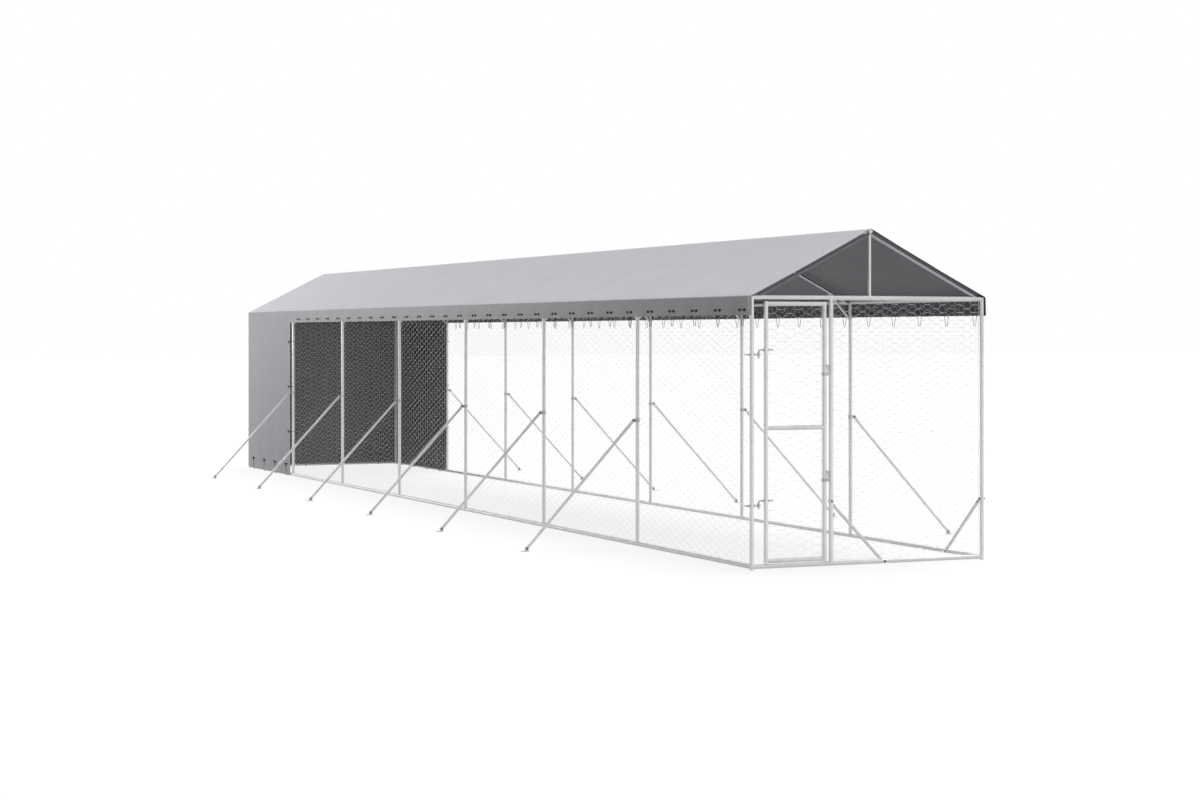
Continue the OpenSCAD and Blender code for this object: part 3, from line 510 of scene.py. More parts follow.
# Tie wires: short loops of soft galvanised wire, round a tube and the netting's edge wire, that hold the
# panels to posts and bottom rails, and the door's panels to all of their tubes.
TIE_WIRE_R = 0.0009
TIE_SIDES = 5
TIE_SLACK = 0.0002
TIE_PITCH = 0.0012
TIE_START = 52
TIE_TURN = 256
TIE_STEPS = 14
TIE_NOSE = (-60, -20, 20, 60)
TIES_PER_EDGE = 6
TIE_CLEAR = 0.03
TIE_STAGGER = 0.02
SHELTER_Y = FRONT_Y + (BAYS - 1) * BAY
FRONT_BRACE_Z = 0.483
FRONT_BRACE_REACH = 0.45
FRONT_BRACE_X = LATCH_X + FRONT_BRACE_REACH
HINGE_AND_LATCH_ZS = (0.468, 0.502, 1.566, 1.600, 0.640, 1.420)
DOOR_TIES = 3
DOOR_TIE_IN = 0.11
DOOR_TIE_STAGGER = 0.012


def pipe(path, radius, sides, closed=False):
    """A round tube along a path, with rings that don't twist."""
    path = np.asarray(path, float)
    ahead = np.roll(path, -1, axis=0) - np.roll(path, 1, axis=0)
    if not closed:
        ahead[0], ahead[-1] = path[1] - path[0], path[-1] - path[-2]
    ahead /= np.linalg.norm(ahead, axis=1)[:, None]
    guide = np.array([0, 0, 1.0]) if abs(ahead[0][2]) < STEEP else np.array([1.0, 0, 0])
    points = []
    for place, way in zip(path, ahead):
        guide = guide - way * guide.dot(way)
        guide /= np.linalg.norm(guide)
        other = np.cross(way, guide)
        for k in range(sides):
            a = 2 * math.pi * k / sides
            points.append(place + radius * (guide * math.cos(a) + other * math.sin(a)))
    last = len(path) if closed else len(path) - 1
    faces = [
        (i * sides + k, i * sides + (k + 1) % sides, (i + 1) % len(path) * sides + (k + 1) % sides,
         (i + 1) % len(path) * sides + k)
        for i in range(last)
        for k in range(sides)
    ]
    return np.array(points), np.array(faces)


def wire_loop(centre, tip, axis):
    """Path of a tie wire round a tube, out to a tip beyond the netting's edge wire."""
    centre, tip, axis = (np.asarray(v, float) for v in (centre, tip, axis))
    reach = np.linalg.norm(tip)
    out = tip / reach
    side = np.cross(axis, out)
    ring = TUBE_R + TIE_WIRE_R + TIE_SLACK
    path = []
    for k in range(TIE_STEPS + 1):
        a = math.radians(TIE_START + k * (TIE_TURN / TIE_STEPS))
        climb = axis * TIE_PITCH * (2 * k / TIE_STEPS - 1)
        path.append(centre + ring * (out * math.cos(a) + side * math.sin(a)) + climb)
    r = SELVAGE_R + TIE_WIRE_R
    nose = reach + r
    for a in TIE_NOSE:
        turn = math.radians(a)
        climb = axis * TIE_PITCH * a / TIE_NOSE[-1]
        path.append(centre + out * (nose - r + r * math.cos(turn)) + side * r * math.sin(turn) - climb)
    return path


def join(parts):
    """One set of points and faces from several."""
    points, faces, count = [], [], 0
    for p, f in parts:
        points.append(p)
        faces.append(f + count)
        count += len(p)
    return np.concatenate(points), np.concatenate(faces)


def spaced(low, high, avoid=()):
    """Even places along an edge, without those that a fitting takes."""
    places = [low + (k + 0.5) * (high - low) / TIES_PER_EDGE for k in range(TIES_PER_EDGE)]
    return [p for p in places if all(abs(p - a) > TIE_CLEAR for a in avoid)]


up = (0, 0, 1)
net_top = NET_Z0 + NET_H
loops = []
for side in (-1, 1):
    for i in range(BAYS - 1):
        y0, y1 = FRONT_Y + i * BAY, FRONT_Y + (i + 1) * BAY
        for z in spaced(NET_Z0, net_top):
            loops.append(wire_loop((side * HALF_W, y0, z), (0, inset, 0), up))
            loops.append(wire_loop((side * HALF_W, y1, z + TIE_STAGGER), (0, -inset, 0), up))
        for y in spaced(y0 + inset, y1 - inset):
            loops.append(wire_loop((side * HALF_W, y, RAIL_Z), (0, 0, inset), (0, 1, 0)))
    for z in spaced(NET_Z0, net_top):
        loops.append(wire_loop((side * HALF_W, SHELTER_Y, z), (0, inset, 0), up))
right_reach = -TUBE_R - FRONT_NET_RIGHT_GAP
for z in spaced(NET_Z0, net_top, (FRONT_BRACE_Z,)):
    loops.append(wire_loop((LATCH_X, FRONT_Y, z), (inset, 0, 0), up))
    loops.append(wire_loop((HALF_W, FRONT_Y, z + TIE_STAGGER), (right_reach, 0, 0), up))
for x in spaced(LATCH_X + inset, HALF_W - inset, (FRONT_BRACE_X,)):
    loops.append(wire_loop((x, FRONT_Y, RAIL_Z), (0, 0, inset), (1, 0, 0)))

door_loops = []
back = DOOR_NET_Y - FRONT_Y
for low, high in zip(DOOR_RAIL_ZS, DOOR_RAIL_ZS[1:]):
    for z in spaced(low + DOOR_NET_EDGE, high - DOOR_NET_EDGE, HINGE_AND_LATCH_ZS):
        door_loops.append(wire_loop((HINGE_STILE_X, FRONT_Y, z), (DOOR_NET_SIDE, back, 0), up))
        door_loops.append(wire_loop((LATCH_STILE_X, FRONT_Y, z), (-DOOR_NET_SIDE, back, 0), up))
    for x in np.linspace(HINGE_STILE_X + DOOR_TIE_IN, LATCH_STILE_X - DOOR_TIE_IN, DOOR_TIES):
        door_loops.append(wire_loop((x, FRONT_Y, low), (0, back, DOOR_NET_EDGE), (1, 0, 0)))
        offset = x + DOOR_TIE_STAGGER
        door_loops.append(wire_loop((offset, FRONT_Y, high), (0, back, -DOOR_NET_EDGE), (1, 0, 0)))

for name, body, paths in (("netting_tie_wires", "run", loops), ("door_tie_wires", "door", door_loops)):
    wires = big_object(name, *join([pipe(p, TIE_WIRE_R, TIE_SIDES, True) for p in paths]), wire_zinc)
    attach(wires, body)


# Cover: one sheet of grey woven plastic cloth, laid over the ridge and the eave rails, down to a valance
# along the open bays and to the ground round the last bay, with a rear wall sewn in. Its edges are hemmed.
RIDGE_Z = 2.480
SHEET_MID = 0.0168
SHEET_T = 0.001
ROOF_PITCH = math.atan2(RIDGE_Z - EAVE_Z, HALF_W)
VALANCE_Z = 1.855
SHELTER_HEM_Z = 0.015
COVER_OVERHANG = 0.025
COVER_FRONT = FRONT_Y - COVER_OVERHANG
COVER_REAR = REAR_Y + SHEET_MID
WALL_SETBACK = 0.075
WALL_FRONT = SHELTER_Y + WALL_SETBACK
HEM_W = 0.030
HEM_STEP = 0.0012
HEM_LIFT = 0.0007
SAG = 0.009
BILLOW = 0.0045
WALL_BILLOW = 0.006
RIPPLE = 0.0012
HOLD_R = 0.011
HOLD_FADE = 0.045
HOLD_REACH = 0.12
HOLD_FROM_Z = 1.72
SEAM_FADE = 0.5
CORNER_FADE = 0.35
EDGE_GIVE = 0.05
EDGE_FADE = 0.2
LINE_SLACK = 1e-6
STEP = 0.055
RIDGE_POINTS = 4
EAVE_POINTS = 6
GABLE_ROWS = 6
SEAM_ANGLE = 40
HOLE = 0.0072

PAIR = 0.038
EAVE_EYELET_Z = 1.893
BAY_TIES = 5
FIRST_TIE = 0.120
EAVE_TIE_PITCH = BAY / BAY_TIES
EAVE_TIE_YS = [FRONT_Y + FIRST_TIE + k * EAVE_TIE_PITCH for k in range(BAY_TIES * (BAYS - 1))]
HEM_EYELET_Z = 0.143
HEM_TIES = 4
HEM_TIE_YS = [SHELTER_Y + (k + 0.5) * BAY / HEM_TIES for k in range(HEM_TIES)]
REAR_TIE_XS = [HALF_W - (k + 0.5) * 2 * HALF_W / HEM_TIES for k in range(HEM_TIES)]
EDGE_EYELET_IN = 0.146
EDGE_EYELET_Y = SHELTER_Y + EDGE_EYELET_IN
EDGE_TIE_LOW = 0.545
EDGE_TIE_PITCH = 0.540
EDGE_TIES = 3
EDGE_TIE_ZS = [EDGE_TIE_LOW + EDGE_TIE_PITCH * k for k in range(EDGE_TIES)]


def pairs(places):
    """Both eyelets of each pair."""
    return [p + s * PAIR for p in places for s in (-1, 1)]


def grid_lines(required, step):
    """Sorted lines of a grid through all the required ones, no further apart than a step."""
    fixed = sorted(set(round(p, 6) for p in required))
    lines = [fixed[0]]
    for a, b in zip(fixed, fixed[1:]):
        parts = max(1, math.ceil((b - a) / step))
        lines += [a + (b - a) * (k + 1) / parts for k in range(parts)]
    return lines


def hole_lines(places):
    """Grid lines at both sides of the eyelets' holes."""
    return [p + s * HOLE for p in places for s in (-1, 1)]


roof_xs = grid_lines(
    [0.0, HALF_W] + [abs(x) for x in hole_lines(pairs(REAR_TIE_XS))], STEP * math.cos(ROOF_PITCH)
)
hem_zs = [SHELTER_HEM_Z, SHELTER_HEM_Z + HEM_W, SHELTER_HEM_Z + HEM_W + HEM_STEP]
valance_zs = [VALANCE_Z, VALANCE_Z + HEM_W, VALANCE_Z + HEM_W + HEM_STEP, EAVE_Z]
wall_zs = grid_lines(
    hem_zs + valance_zs + hole_lines([EAVE_EYELET_Z, HEM_EYELET_Z] + EDGE_TIE_ZS), STEP
)

# Cross-section from the ridge to the right hem, mirrored for the left: place, outward direction and share of
# the roof. The sheet is round over the ridge tube and the eave rail.
slope = (math.sin(ROOF_PITCH), math.cos(ROOF_PITCH))
section = []
for a in np.linspace(90, 90 - math.degrees(ROOF_PITCH), RIDGE_POINTS)[:-1]:
    way = (math.cos(math.radians(a)), math.sin(math.radians(a)))
    section.append((SHEET_MID * way[0], RIDGE_Z + SHEET_MID * way[1], way, 0.0))
for x in roof_xs:
    share = x / HALF_W
    section.append(
        (x + SHEET_MID * slope[0], RIDGE_Z - (RIDGE_Z - EAVE_Z) * share + SHEET_MID * slope[1], slope, share)
    )
for a in np.linspace(90 - math.degrees(ROOF_PITCH), 0, EAVE_POINTS)[1:-1]:
    way = (math.cos(math.radians(a)), math.sin(math.radians(a)))
    section.append((HALF_W + SHEET_MID * way[0], EAVE_Z + SHEET_MID * way[1], way, 1.0))
for z in reversed(wall_zs):
    section.append((HALF_W + SHEET_MID, z, (1.0, 0.0), 1.0))
section = [(-x, z, (-w[0], w[1]), t) for x, z, w, t in reversed(section[1:])] + section
steps = [math.dist(a[:2], b[:2]) for a, b in zip(section, section[1:])]
cloth_u = np.concatenate([[0], np.cumsum(steps)])
cloth_u -= cloth_u[-1] / 2

cover_ys = grid_lines(
    [COVER_FRONT, COVER_FRONT + HEM_W, COVER_FRONT + HEM_W + HEM_STEP, COVER_REAR]
    + [WALL_FRONT, WALL_FRONT + HEM_W, WALL_FRONT + HEM_W + HEM_STEP]
    + hole_lines(pairs(EAVE_TIE_YS) + pairs(HEM_TIE_YS) + [EDGE_EYELET_Y]),
    STEP,
)
side_eyelets = np.array(
    [(y, EAVE_EYELET_Z) for y in pairs(EAVE_TIE_YS)]
    + [(y, HEM_EYELET_Z) for y in pairs(HEM_TIE_YS)]
    + [(EDGE_EYELET_Y, z) for z in EDGE_TIE_ZS]
)
rear_eyelets = np.array([(x, HEM_EYELET_Z) for x in pairs(REAR_TIE_XS)])


def near(eyelets, a, z):
    """1 away from the eyelets, 0 where one holds the cloth."""
    if abs(z - EAVE_EYELET_Z) > HOLD_REACH and z > HOLD_FROM_Z:
        return 1.0
    d = np.min(np.hypot(eyelets[:, 0] - a, eyelets[:, 1] - z))
    return 1 - math.exp(-((max(0.0, d - HOLD_R) / HOLD_FADE) ** 2))


def waves(a, b, seed):
    """Soft irregular folds from -1 to 1, made of a few long and short waves."""
    return (
        0.5 * math.sin(3.1 * a + 1.7 * b + seed)
        + 0.3 * math.sin(7.3 * a - 2.9 * b + 2.1 * seed)
        + 0.2 * math.sin(15.7 * a + 4.3 * b + 3.7 * seed)
    )


def ease(value):
    """Smooth step from 0 to 1."""
    value = min(1.0, max(0.0, value))
    return value * value * (3 - 2 * value)


def in_hem(distance):
    """Lift of the cloth where a hem doubles it."""
    return HEM_LIFT if distance < HEM_W + HEM_STEP / 2 else 0.0


def roof_shift(x, y, share):
    """Sag of the roof between ridge and eave and between frames; the rear edge is sewn."""
    hang = 4 * share * (1 - share)
    bay = ((y - FRONT_Y) / BAY) % 1.0
    belly = 0.55 + 0.45 * math.sin(math.pi * bay) ** 2
    end = ease((COVER_REAR - y) / SEAM_FADE)
    ripple = RIPPLE * waves(5 * x, y, 0.3) * hang
    return -(SAG * hang * belly * end) + ripple * end + in_hem(y - COVER_FRONT)


def wall_shift(side, y, z):
    """Outward billow of valance and shelter wall, held at the eave, the eyelets and the rear corner."""
    if y < WALL_FRONT - LINE_SLACK:
        loose = ease((EAVE_Z - z) / (EAVE_Z - VALANCE_Z))
        between = (y - EAVE_TIE_YS[0] - EAVE_TIE_PITCH / 2) / EAVE_TIE_PITCH
        swing = 0.5 + 0.5 * math.cos(2 * math.pi * between)
        out = BILLOW * loose * (0.35 + 0.65 * swing) * (0.8 + 0.2 * waves(2 * y, z, side))
        hem = in_hem(min(z - VALANCE_Z, y - COVER_FRONT))
    else:
        loose = ease((EAVE_Z - z) / SEAM_FADE) * ease((COVER_REAR - y) / CORNER_FADE)
        fold = 0.5 + 0.5 * waves(4.2 * (y - SHELTER_Y), 0.35 * z, 1.3 + side)
        out = WALL_BILLOW * loose * fold * ease((y - WALL_FRONT + EDGE_GIVE) / EDGE_FADE)
        hem = in_hem(min(z - SHELTER_HEM_Z, y - WALL_FRONT))
    return out * near(side_eyelets, y, z) + hem


def rear_shift(x, z):
    """Outward billow of the rear wall, held at its edges and eyelets."""
    top = EAVE_Z + (RIDGE_Z - EAVE_Z) * (1 - min(1, abs(x) / HALF_W))
    loose = ease((top - z) / SEAM_FADE) * ease((HALF_W - abs(x)) / CORNER_FADE)
    fold = 0.5 + 0.5 * waves(4.0 * x, 0.3 * z, 0.8)
    return WALL_BILLOW * loose * fold * near(rear_eyelets, x, z) + in_hem(z - SHELTER_HEM_Z)


points, faces, flats = [], [], []
index = {}


def corner(name, place, flat):
    """Number of a point of the cloth, made once."""
    if name not in index:
        index[name] = len(points)
        points.append(place)
        flats.append(flat)
    return index[name]


def sheet_point(i, j):
    """Point of the main cloth at a line along the run and a line of the cross-section."""
    x, z, way, share = section[j]
    y = cover_ys[i]
    wall = way[1] == 0.0
    shift = wall_shift(1 if x > 0 else -1, y, z) if wall else roof_shift(x, y, share)
    return corner(("main", i, j), (x + way[0] * shift, y, z + way[1] * shift), (cloth_u[j], y))


def open_at(eyelets, a, z):
    """True in the middle of an eyelet's hole."""
    return np.min(np.maximum(abs(eyelets[:, 0] - a), abs(eyelets[:, 1] - z))) < HOLE * 0.5


for i in range(len(cover_ys) - 1):
    y = (cover_ys[i] + cover_ys[i + 1]) / 2
    for j in range(len(section) - 1):
        z = (section[j][1] + section[j + 1][1]) / 2
        if z < VALANCE_Z and y < WALL_FRONT or z < EAVE_Z and open_at(side_eyelets, y, z):
            continue
        ring = ((i, j), (i, j + 1), (i + 1, j + 1), (i + 1, j))
        faces.append(tuple(sheet_point(*place) for place in ring))

# The rear wall hangs in columns below the points of the cross-section, and shares its edge points.
last = len(cover_ys) - 1
wall_rows = len(wall_zs)
left_edge = wall_rows - 1
right_edge = len(section) - wall_rows


def rear_point(j, k):
    """Point of the rear wall in a column and row; outer columns and top points belong to the main cloth."""
    x, top = section[j][:2]
    if j == left_edge:
        return sheet_point(last, left_edge - min(k, wall_rows - 1))
    if j == right_edge:
        return sheet_point(last, right_edge + wall_rows - 1 - min(k, wall_rows - 1))
    if k == wall_rows - 1 + GABLE_ROWS:
        return sheet_point(last, j)
    z = wall_zs[k] if k < wall_rows else EAVE_Z + (top - EAVE_Z) * (k - wall_rows + 1) / GABLE_ROWS
    return corner(("rear", j, k), (x, COVER_REAR + rear_shift(x, z), z), (x, z))


for j in range(left_edge, right_edge):
    for k in range(wall_rows - 1 + GABLE_ROWS):
        quad = [rear_point(j, k), rear_point(j, k + 1), rear_point(j + 1, k + 1), rear_point(j + 1, k)]
        middle = np.mean([points[q] for q in quad], axis=0)
        if open_at(rear_eyelets, middle[0], middle[2]):
            continue
        quad = list(dict.fromkeys(quad))
        if len(quad) > 2:
            faces.append(tuple(quad))


TAPE_MM = 2.5
CREASE_MM = 240


def per_band(millimetres):
    """Wave texture scale that gives bands of this width, for coordinates in metres."""
    return per_metre(millimetres) / 20 * math.pi


def woven(name, pale, mid, roughness):
    """Woven plastic tape cloth: a fine plain weave in the cloth's own directions, with faint creases."""
    material, tree, output = new_material(name)
    place = add(tree, "ShaderNodeUVMap", {"uv_map": "cloth"})
    tapes = []
    for direction in ("X", "Y"):
        tapes.append(
            add(
                tree,
                "ShaderNodeTexWave",
                {"bands_direction": direction, "Scale": per_band(TAPE_MM), "Distortion": 0.4},
                {"Vector": (place, "UV")},
            )
        )
    weave = combine(tree, "ADD", (tapes[0], "Fac"), (tapes[1], "Fac"))
    crease = add(
        tree,
        "ShaderNodeTexNoise",
        {"Scale": per_metre(CREASE_MM), "Detail": 6.0, "Roughness": 0.55, "Distortion": 0.8},
        {"Vector": (place, "UV")},
    )
    tint = add(
        tree,
        "ShaderNodeMath",
        {"operation": "MULTIPLY_ADD", 1: 0.10},
        {0: (weave, "Value"), 2: (crease, "Fac")},
    )
    colour = ramp(tree, (tint, "Value"), [(0.38, mid), (0.75, pale)])
    fine = add(
        tree, "ShaderNodeBump", {"Strength": 0.25, "Distance": 0.0003}, {"Height": (weave, "Value")}
    )
    folds = add(
        tree,
        "ShaderNodeBump",
        {"Strength": 0.15, "Distance": 0.004},
        {"Height": (crease, "Fac"), "Normal": (fine, "Normal")},
    )
    cloth = add(
        tree,
        "ShaderNodeBsdfPrincipled",
        {"Roughness": roughness, "Specular IOR Level": 0.4},
        {"Base Color": (colour, "Color"), "Normal": (folds, "Normal")},
    )
    tree.links.new(cloth.outputs["BSDF"], output.inputs["Surface"])
    return material


# Painted shade: the inner face is a darker grey than the outer one, for the shade under and inside the cover.
cover_out = woven("woven_cover_outside", "#97989C", "#919296", 0.5)
cover_inner_painted_shade = woven("woven_cover_inside_painted_shade", "#67686D", "#616267", 0.6)
cover = make_object("cover_sheet", points, faces, cover_out, smooth=True)
cover.data.materials.append(cover_inner_painted_shade)
layer = cover.data.uv_layers.new(name="cloth")
for loop in cover.data.loops:
    layer.data[loop.index].uv = flats[loop.vertex_index]
thick = cover.modifiers.new("thickness", "SOLIDIFY")
thick.thickness = SHEET_T
thick.offset = 0
thick.material_offset = 1
thick.material_offset_rim = 0
cover.data = bpy.data.meshes.new_from_object(cover.evaluated_get(bpy.context.evaluated_depsgraph_get()))
cover.modifiers.clear()
cover.data.set_sharp_from_angle(angle=math.radians(SEAM_ANGLE))
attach(cover, "run")
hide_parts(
    "left_roof", "right_roof", "left_valance", "right_valance", "shelter_left", "shelter_right",
    "shelter_rear",
)


# Eyelets: two-part pressed steel eyelets with a dull black finish, in pairs along valance and hem and single
# along the shelter's front edges, pressed through the cloth.
EYELET_NODES = ["eave_eyelets", "shelter_eyelets"]
black_steel = black_finish("blackened_steel_eyelet", "#242425", "#121213")
dress(EYELET_NODES, black_steel)


# Cord stops: small domed steel rings with the black finish of the eyelets, one on the cord outside each
# eyelet, which keep the cord from slipping through it.
STOP_GAP = 0.0001
STOP_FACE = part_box("eave_eyelets")[1][0] - HALF_W + STOP_GAP
STOP_SIDES = 14
STOP_PROFILE = (
    (0.0022, 0.0), (0.0076, 0.0), (0.0090, 0.0018), (0.0086, 0.0048), (0.0062, 0.0072), (0.0032, 0.0077),
    (0.0022, 0.0066),
)


def cord_stop(eyelet, out):
    """The profile of radius and height turned about an eyelet's axis, which points out of the wall."""
    out = np.array(out, float)
    aside = np.cross(up, out)
    ring = []
    for radius, height in STOP_PROFILE:
        for a in np.linspace(0, 2 * math.pi, STOP_SIDES, endpoint=False):
            spoke = aside * math.cos(a) + np.multiply(up, math.sin(a))
            ring.append(np.add(eyelet, out * (STOP_FACE + height) + spoke * radius))
    count = len(STOP_PROFILE)
    quads = [
        (s * STOP_SIDES + k, s * STOP_SIDES + (k + 1) % STOP_SIDES,
         (s + 1) % count * STOP_SIDES + (k + 1) % STOP_SIDES, (s + 1) % count * STOP_SIDES + k)
        for s in range(count)
        for k in range(STOP_SIDES)
    ]
    return np.array(ring), np.array(quads)


stop_parts = [cord_stop((s * HALF_W, y, z), (s, 0, 0)) for s in (-1, 1) for y, z in side_eyelets]
stop_parts += [cord_stop((x, REAR_Y, z), (0, 1, 0)) for x, z in rear_eyelets]
stops = big_object("cord_stops", *join(stop_parts), black_steel)
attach(stops, "run")


# Eave ties: short lengths of grey braided cord. Each goes through the stops and the two eyelets of a pair,
# hangs inside the valance as a loop with a round end, and has its ends knotted outside.
CORD_R = 0.002
CORD_SIDES = 8
CORD_OUT = 0.02075
CORD_IN = 0.01285
BEND_R = 0.0034
LOOP_R = 0.014
LOOP_LENGTH = 0.118
LOOP_DROP = LOOP_LENGTH - CORD_R - LOOP_R
KNOT_GAP = 0.003
KNOT_OUT = 0.0006
KNOT_SIZE = (0.0016, 0.0046, 0.0026)
KNOT_R = CORD_R * 0.8
KNOT_SIDES = 7
KNOT_POINTS = 22
BEND_POINTS = 6
LEG_POINTS = 8
TIP_POINTS = 7
STRAND_MM = 1.6
STRAND_SLANT = 45
LOOP_LEAN = math.atan2(PAIR, LOOP_DROP) - math.asin(LOOP_R / math.hypot(PAIR, LOOP_DROP))


def braid(name, dark, pale):
    """Braided cord: small diagonal strands along the cord's own length."""
    material, tree, output = new_material(name)
    place = add(tree, "ShaderNodeUVMap", {"uv_map": "cord"})
    strands = []
    for turn in (1, -1):
        slant = (0, 0, math.radians(STRAND_SLANT * turn))
        way = add(tree, "ShaderNodeMapping", {"Rotation": slant}, {"Vector": (place, "UV")})
        strands.append(
            add(tree, "ShaderNodeTexWave", {"Scale": per_band(STRAND_MM)}, {"Vector": (way, "Vector")})
        )
    weave = combine(tree, "MULTIPLY", (strands[0], "Fac"), (strands[1], "Fac"))
    colour = ramp(tree, (weave, "Value"), [(0.0, dark), (0.6, pale)])
    bump = add(tree, "ShaderNodeBump", {"Strength": 0.5, "Distance": 0.0003}, {"Height": (weave, "Value")})
    cord = add(
        tree,
        "ShaderNodeBsdfPrincipled",
        {"Roughness": 0.8},
        {"Base Color": (colour, "Color"), "Normal": (bump, "Normal")},
    )
    tree.links.new(cord.outputs["BSDF"], output.inputs["Surface"])
    return material


grey_cord = braid("grey_braided_cord", "#5E5F61", "#7C7D7F")


def arc(centre, a, b, start, end, count):
    """Points of an arc about a centre, in the plane of two radius vectors a and b."""
    return [
        np.asarray(centre) + np.asarray(a) * math.cos(t) + np.asarray(b) * math.sin(t)
        for t in np.radians(np.linspace(start, end, count))
    ]


def loop_path():
    """Centre line of one eave tie, from its knot outside round to the knot again; x is out of the wall."""
    lean, r = LOOP_LEAN, BEND_R
    down = np.array([0, -math.sin(lean), -math.cos(lean)])
    right = [np.array([CORD_OUT, KNOT_GAP, 0])]
    right += arc((CORD_OUT - r, PAIR - r, 0), (r, 0, 0), (0, r, 0), 0, 90, BEND_POINTS)
    bend = np.array([CORD_IN + r, PAIR, 0]) + down * r
    right += arc(bend, -down * r, (-r, 0, 0), 0, 90, BEND_POINTS)
    leg_end = np.array([CORD_IN, LOOP_R * math.cos(lean), -LOOP_DROP - LOOP_R * math.sin(lean)])
    leg_start = right[-1]
    right += [leg_start + (leg_end - leg_start) * k / LEG_POINTS for k in range(1, LEG_POINTS)]
    tip = (CORD_IN, 0, -LOOP_DROP)
    right += arc(tip, (0, LOOP_R, 0), (0, 0, -LOOP_R), math.degrees(lean), 90, TIP_POINTS)
    left = [p * [1, -1, 1] for p in reversed(right[:-1])]
    return right + left


def cord_object(name, path, material):
    """A braided cord with its strands laid along its length."""
    p, f = pipe(path, CORD_R, CORD_SIDES)
    obj = big_object(name, p, f, material)
    layer = obj.data.uv_layers.new(name="cord")
    run = np.concatenate([[0], np.cumsum(np.linalg.norm(np.diff(path, axis=0), axis=1))])
    across = 2 * math.pi * CORD_R / CORD_SIDES
    for face in obj.data.polygons:
        ring_a, k = divmod(face.index, CORD_SIDES)
        for loop, (u, v) in zip(face.loop_indices, ((0, 0), (0, 1), (1, 1), (1, 0))):
            layer.data[loop].uv = (run[ring_a + u], (k + v) * across)
    return obj


def knot_parts(place, sizes, seed):
    """A small overhand knot: three tight turns of cord wound over each other."""
    a = np.linspace(0, 2 * math.pi, KNOT_POINTS, endpoint=False) + seed
    path = np.stack([np.sin(2 * a) * 0.55 + 0.1, np.sin(3 * a), np.cos(2 * a)], axis=1) * sizes + place
    return pipe(path, KNOT_R, KNOT_SIDES, True)


shape = np.array(loop_path())
for side, word in ((-1, "left"), (1, "right")):
    for n, y in enumerate(EAVE_TIE_YS):
        path = shape * [side, 1, 1] + [side * HALF_W, y, EAVE_EYELET_Z]
        tie = cord_object("eave_tie_%s_%02d" % (word, n + 1), path, grey_cord)
        knot_place = (side * (HALF_W + CORD_OUT + KNOT_OUT), y, EAVE_EYELET_Z)
        knot = big_object(
            "eave_knot_%s_%02d" % (word, n + 1), *knot_parts(knot_place, KNOT_SIZE, n), grey_cord
        )
        knot.data.uv_layers.new(name="cord")
        for piece in (tie, knot):
            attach(piece, "run")
        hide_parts(word + "_eave_ties")


# Shelter lashings: black braided cord. A hem tie is a ring through a pair of eyelets with a strap from it
# down round the bottom rail. An edge tie goes round the post at the shelter's front and through one
# eyelet. Each has a knot with two loose ends.
black_cord = braid("black_braided_cord", "#161617", "#2C2C2D")
LASH_RING = TUBE_R + SEAT_GAP + CORD_R
LASH_KNOT = (0.0016, 0.0046, 0.0034)
EDGE_KNOT_SHARE = 0.75
CORNER_POINTS = 5
END_R = CORD_R * 0.9
END_DROPS = (
    (0.002, 0.0, 0.0002), (0.0055, -0.002, 0.0008), (0.0075, -0.007, 0.0012), (0.0082, -0.013, 0.0013),
    (0.0080, -0.019, 0.0011), (0.0072, -0.025, 0.0008),
)
END_SHAPES = ((-0.8, 0.75), (1.0, 1.3))
HEM_REACH = HEM_EYELET_Z - RAIL_Z
EDGE_REACH = EDGE_EYELET_Y - SHELTER_Y


def rounded(corners, radius, closed=True):
    """A path through square corners with each corner rounded."""
    path = []
    for i, p in enumerate(corners):
        if not closed and i in (0, len(corners) - 1):
            path.append(p)
            continue
        into, out = p - corners[i - 1], corners[(i + 1) % len(corners)] - p
        into, out = into / np.linalg.norm(into), out / np.linalg.norm(out)
        path += arc(p - into * radius + out * radius, -out * radius, into * radius, 0, 90, CORNER_POINTS)
    return path


def in_plane(origin, a, b, flat):
    """Points given in a plane by two directions, placed about an origin."""
    return [np.add(origin, np.multiply(a, u) + np.multiply(b, v)) for u, v in flat]


def loose_ends(place, out, aside):
    """Two short ends of cord, a shorter and a longer one, that hang from a knot."""
    ends = []
    for spread, stretch in END_SHAPES:
        path = [
            place + aside * spread * a + np.array([0, 0, z * stretch]) + out * o for a, z, o in END_DROPS
        ]
        ends.append(pipe(path, END_R, KNOT_SIDES))
    return ends


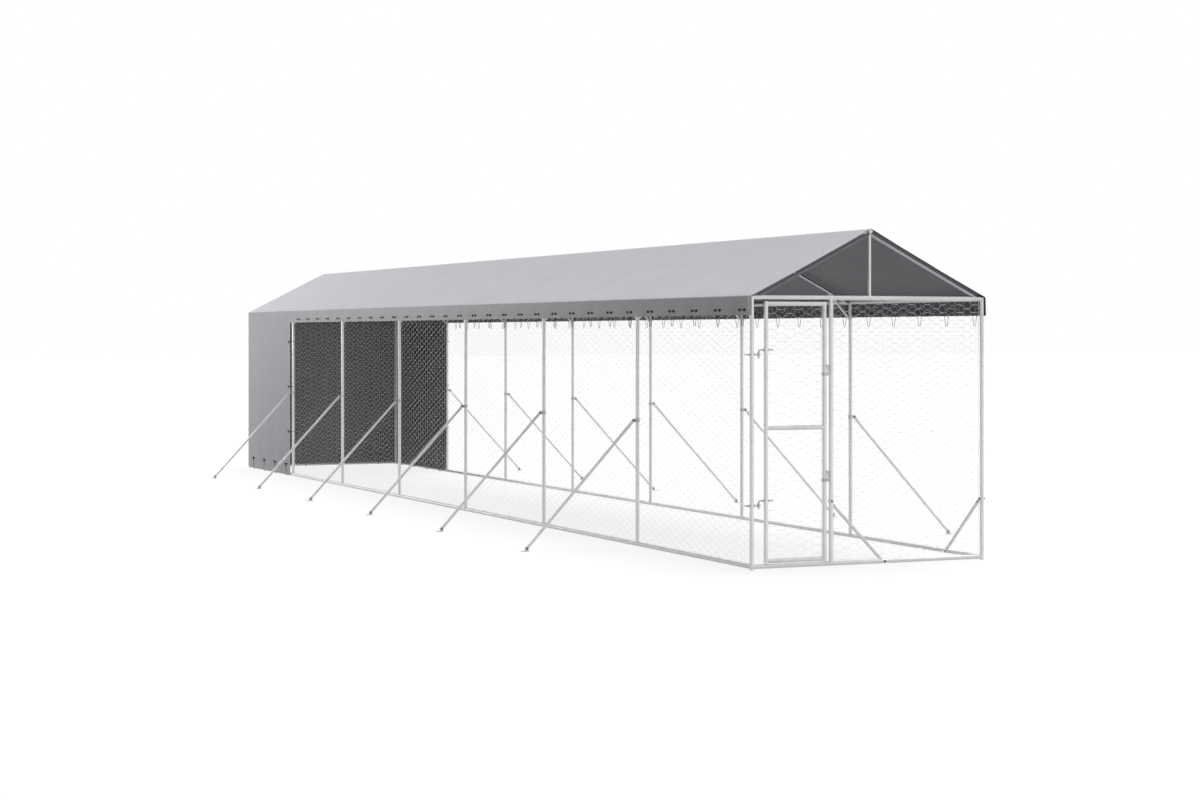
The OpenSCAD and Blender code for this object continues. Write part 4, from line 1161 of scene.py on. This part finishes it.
def hem_lashing(middle, out, along):
    """A hem tie at the rail's centre, with the wall's outward direction and the direction along it."""
    out, along = np.array(out, float), np.array(along, float)
    level = np.add(middle, (0, 0, HEM_REACH))
    ring = ((CORD_OUT, PAIR), (CORD_IN, PAIR), (CORD_IN, -PAIR), (CORD_OUT, -PAIR))
    strap = (
        (CORD_OUT, HEM_REACH), (CORD_OUT, -LASH_RING), (-LASH_RING, -LASH_RING), (-LASH_RING, LASH_RING),
        (CORD_IN, LASH_RING), (CORD_IN, HEM_REACH),
    )
    knot = level + out * (CORD_OUT + KNOT_OUT)
    size = np.abs(out) * LASH_KNOT[0] + np.abs(along) * LASH_KNOT[1] + (0, 0, LASH_KNOT[2])
    return [
        pipe(rounded(in_plane(level, out, along, ring), BEND_R), CORD_R, CORD_SIDES, True),
        pipe(rounded(in_plane(middle, out, up, strap), BEND_R, False), CORD_R, CORD_SIDES),
        knot_parts(knot, size, middle[1]),
    ] + loose_ends(knot, out, along)


def edge_lashing(middle, out):
    """An edge tie at the post's centre."""
    out, along = np.array(out, float), np.array((0, 1.0, 0))
    flat = (
        (CORD_OUT, -LASH_RING), (CORD_OUT, EDGE_REACH), (CORD_IN, EDGE_REACH), (CORD_IN, LASH_RING),
        (-LASH_RING, LASH_RING), (-LASH_RING, -LASH_RING),
    )
    knot = np.add(middle, out * (CORD_OUT + KNOT_OUT) + along * EDGE_REACH * EDGE_KNOT_SHARE)
    return [
        pipe(rounded(in_plane(middle, out, along, flat), BEND_R), CORD_R, CORD_SIDES, True),
        knot_parts(knot, LASH_KNOT, middle[2]),
    ] + loose_ends(knot, out, along)


hem_parts, edge_parts = [], []
for side in (-1, 1):
    for y in HEM_TIE_YS:
        hem_parts += hem_lashing((side * HALF_W, y, RAIL_Z), (side, 0, 0), (0, 1, 0))
    for z in EDGE_TIE_ZS:
        edge_parts += edge_lashing((side * HALF_W, SHELTER_Y, z), (side, 0, 0))
for x in REAR_TIE_XS:
    hem_parts += hem_lashing((x, REAR_Y, RAIL_Z), (0, 1, 0), (1, 0, 0))
for name, parts in (("shelter_hem_ties", hem_parts), ("shelter_edge_ties", edge_parts)):
    lash = big_object(name.replace("ties", "lashings"), *join(parts), black_cord)
    lash.data.uv_layers.new(name="cord")
    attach(lash, "run")
    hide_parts(name)
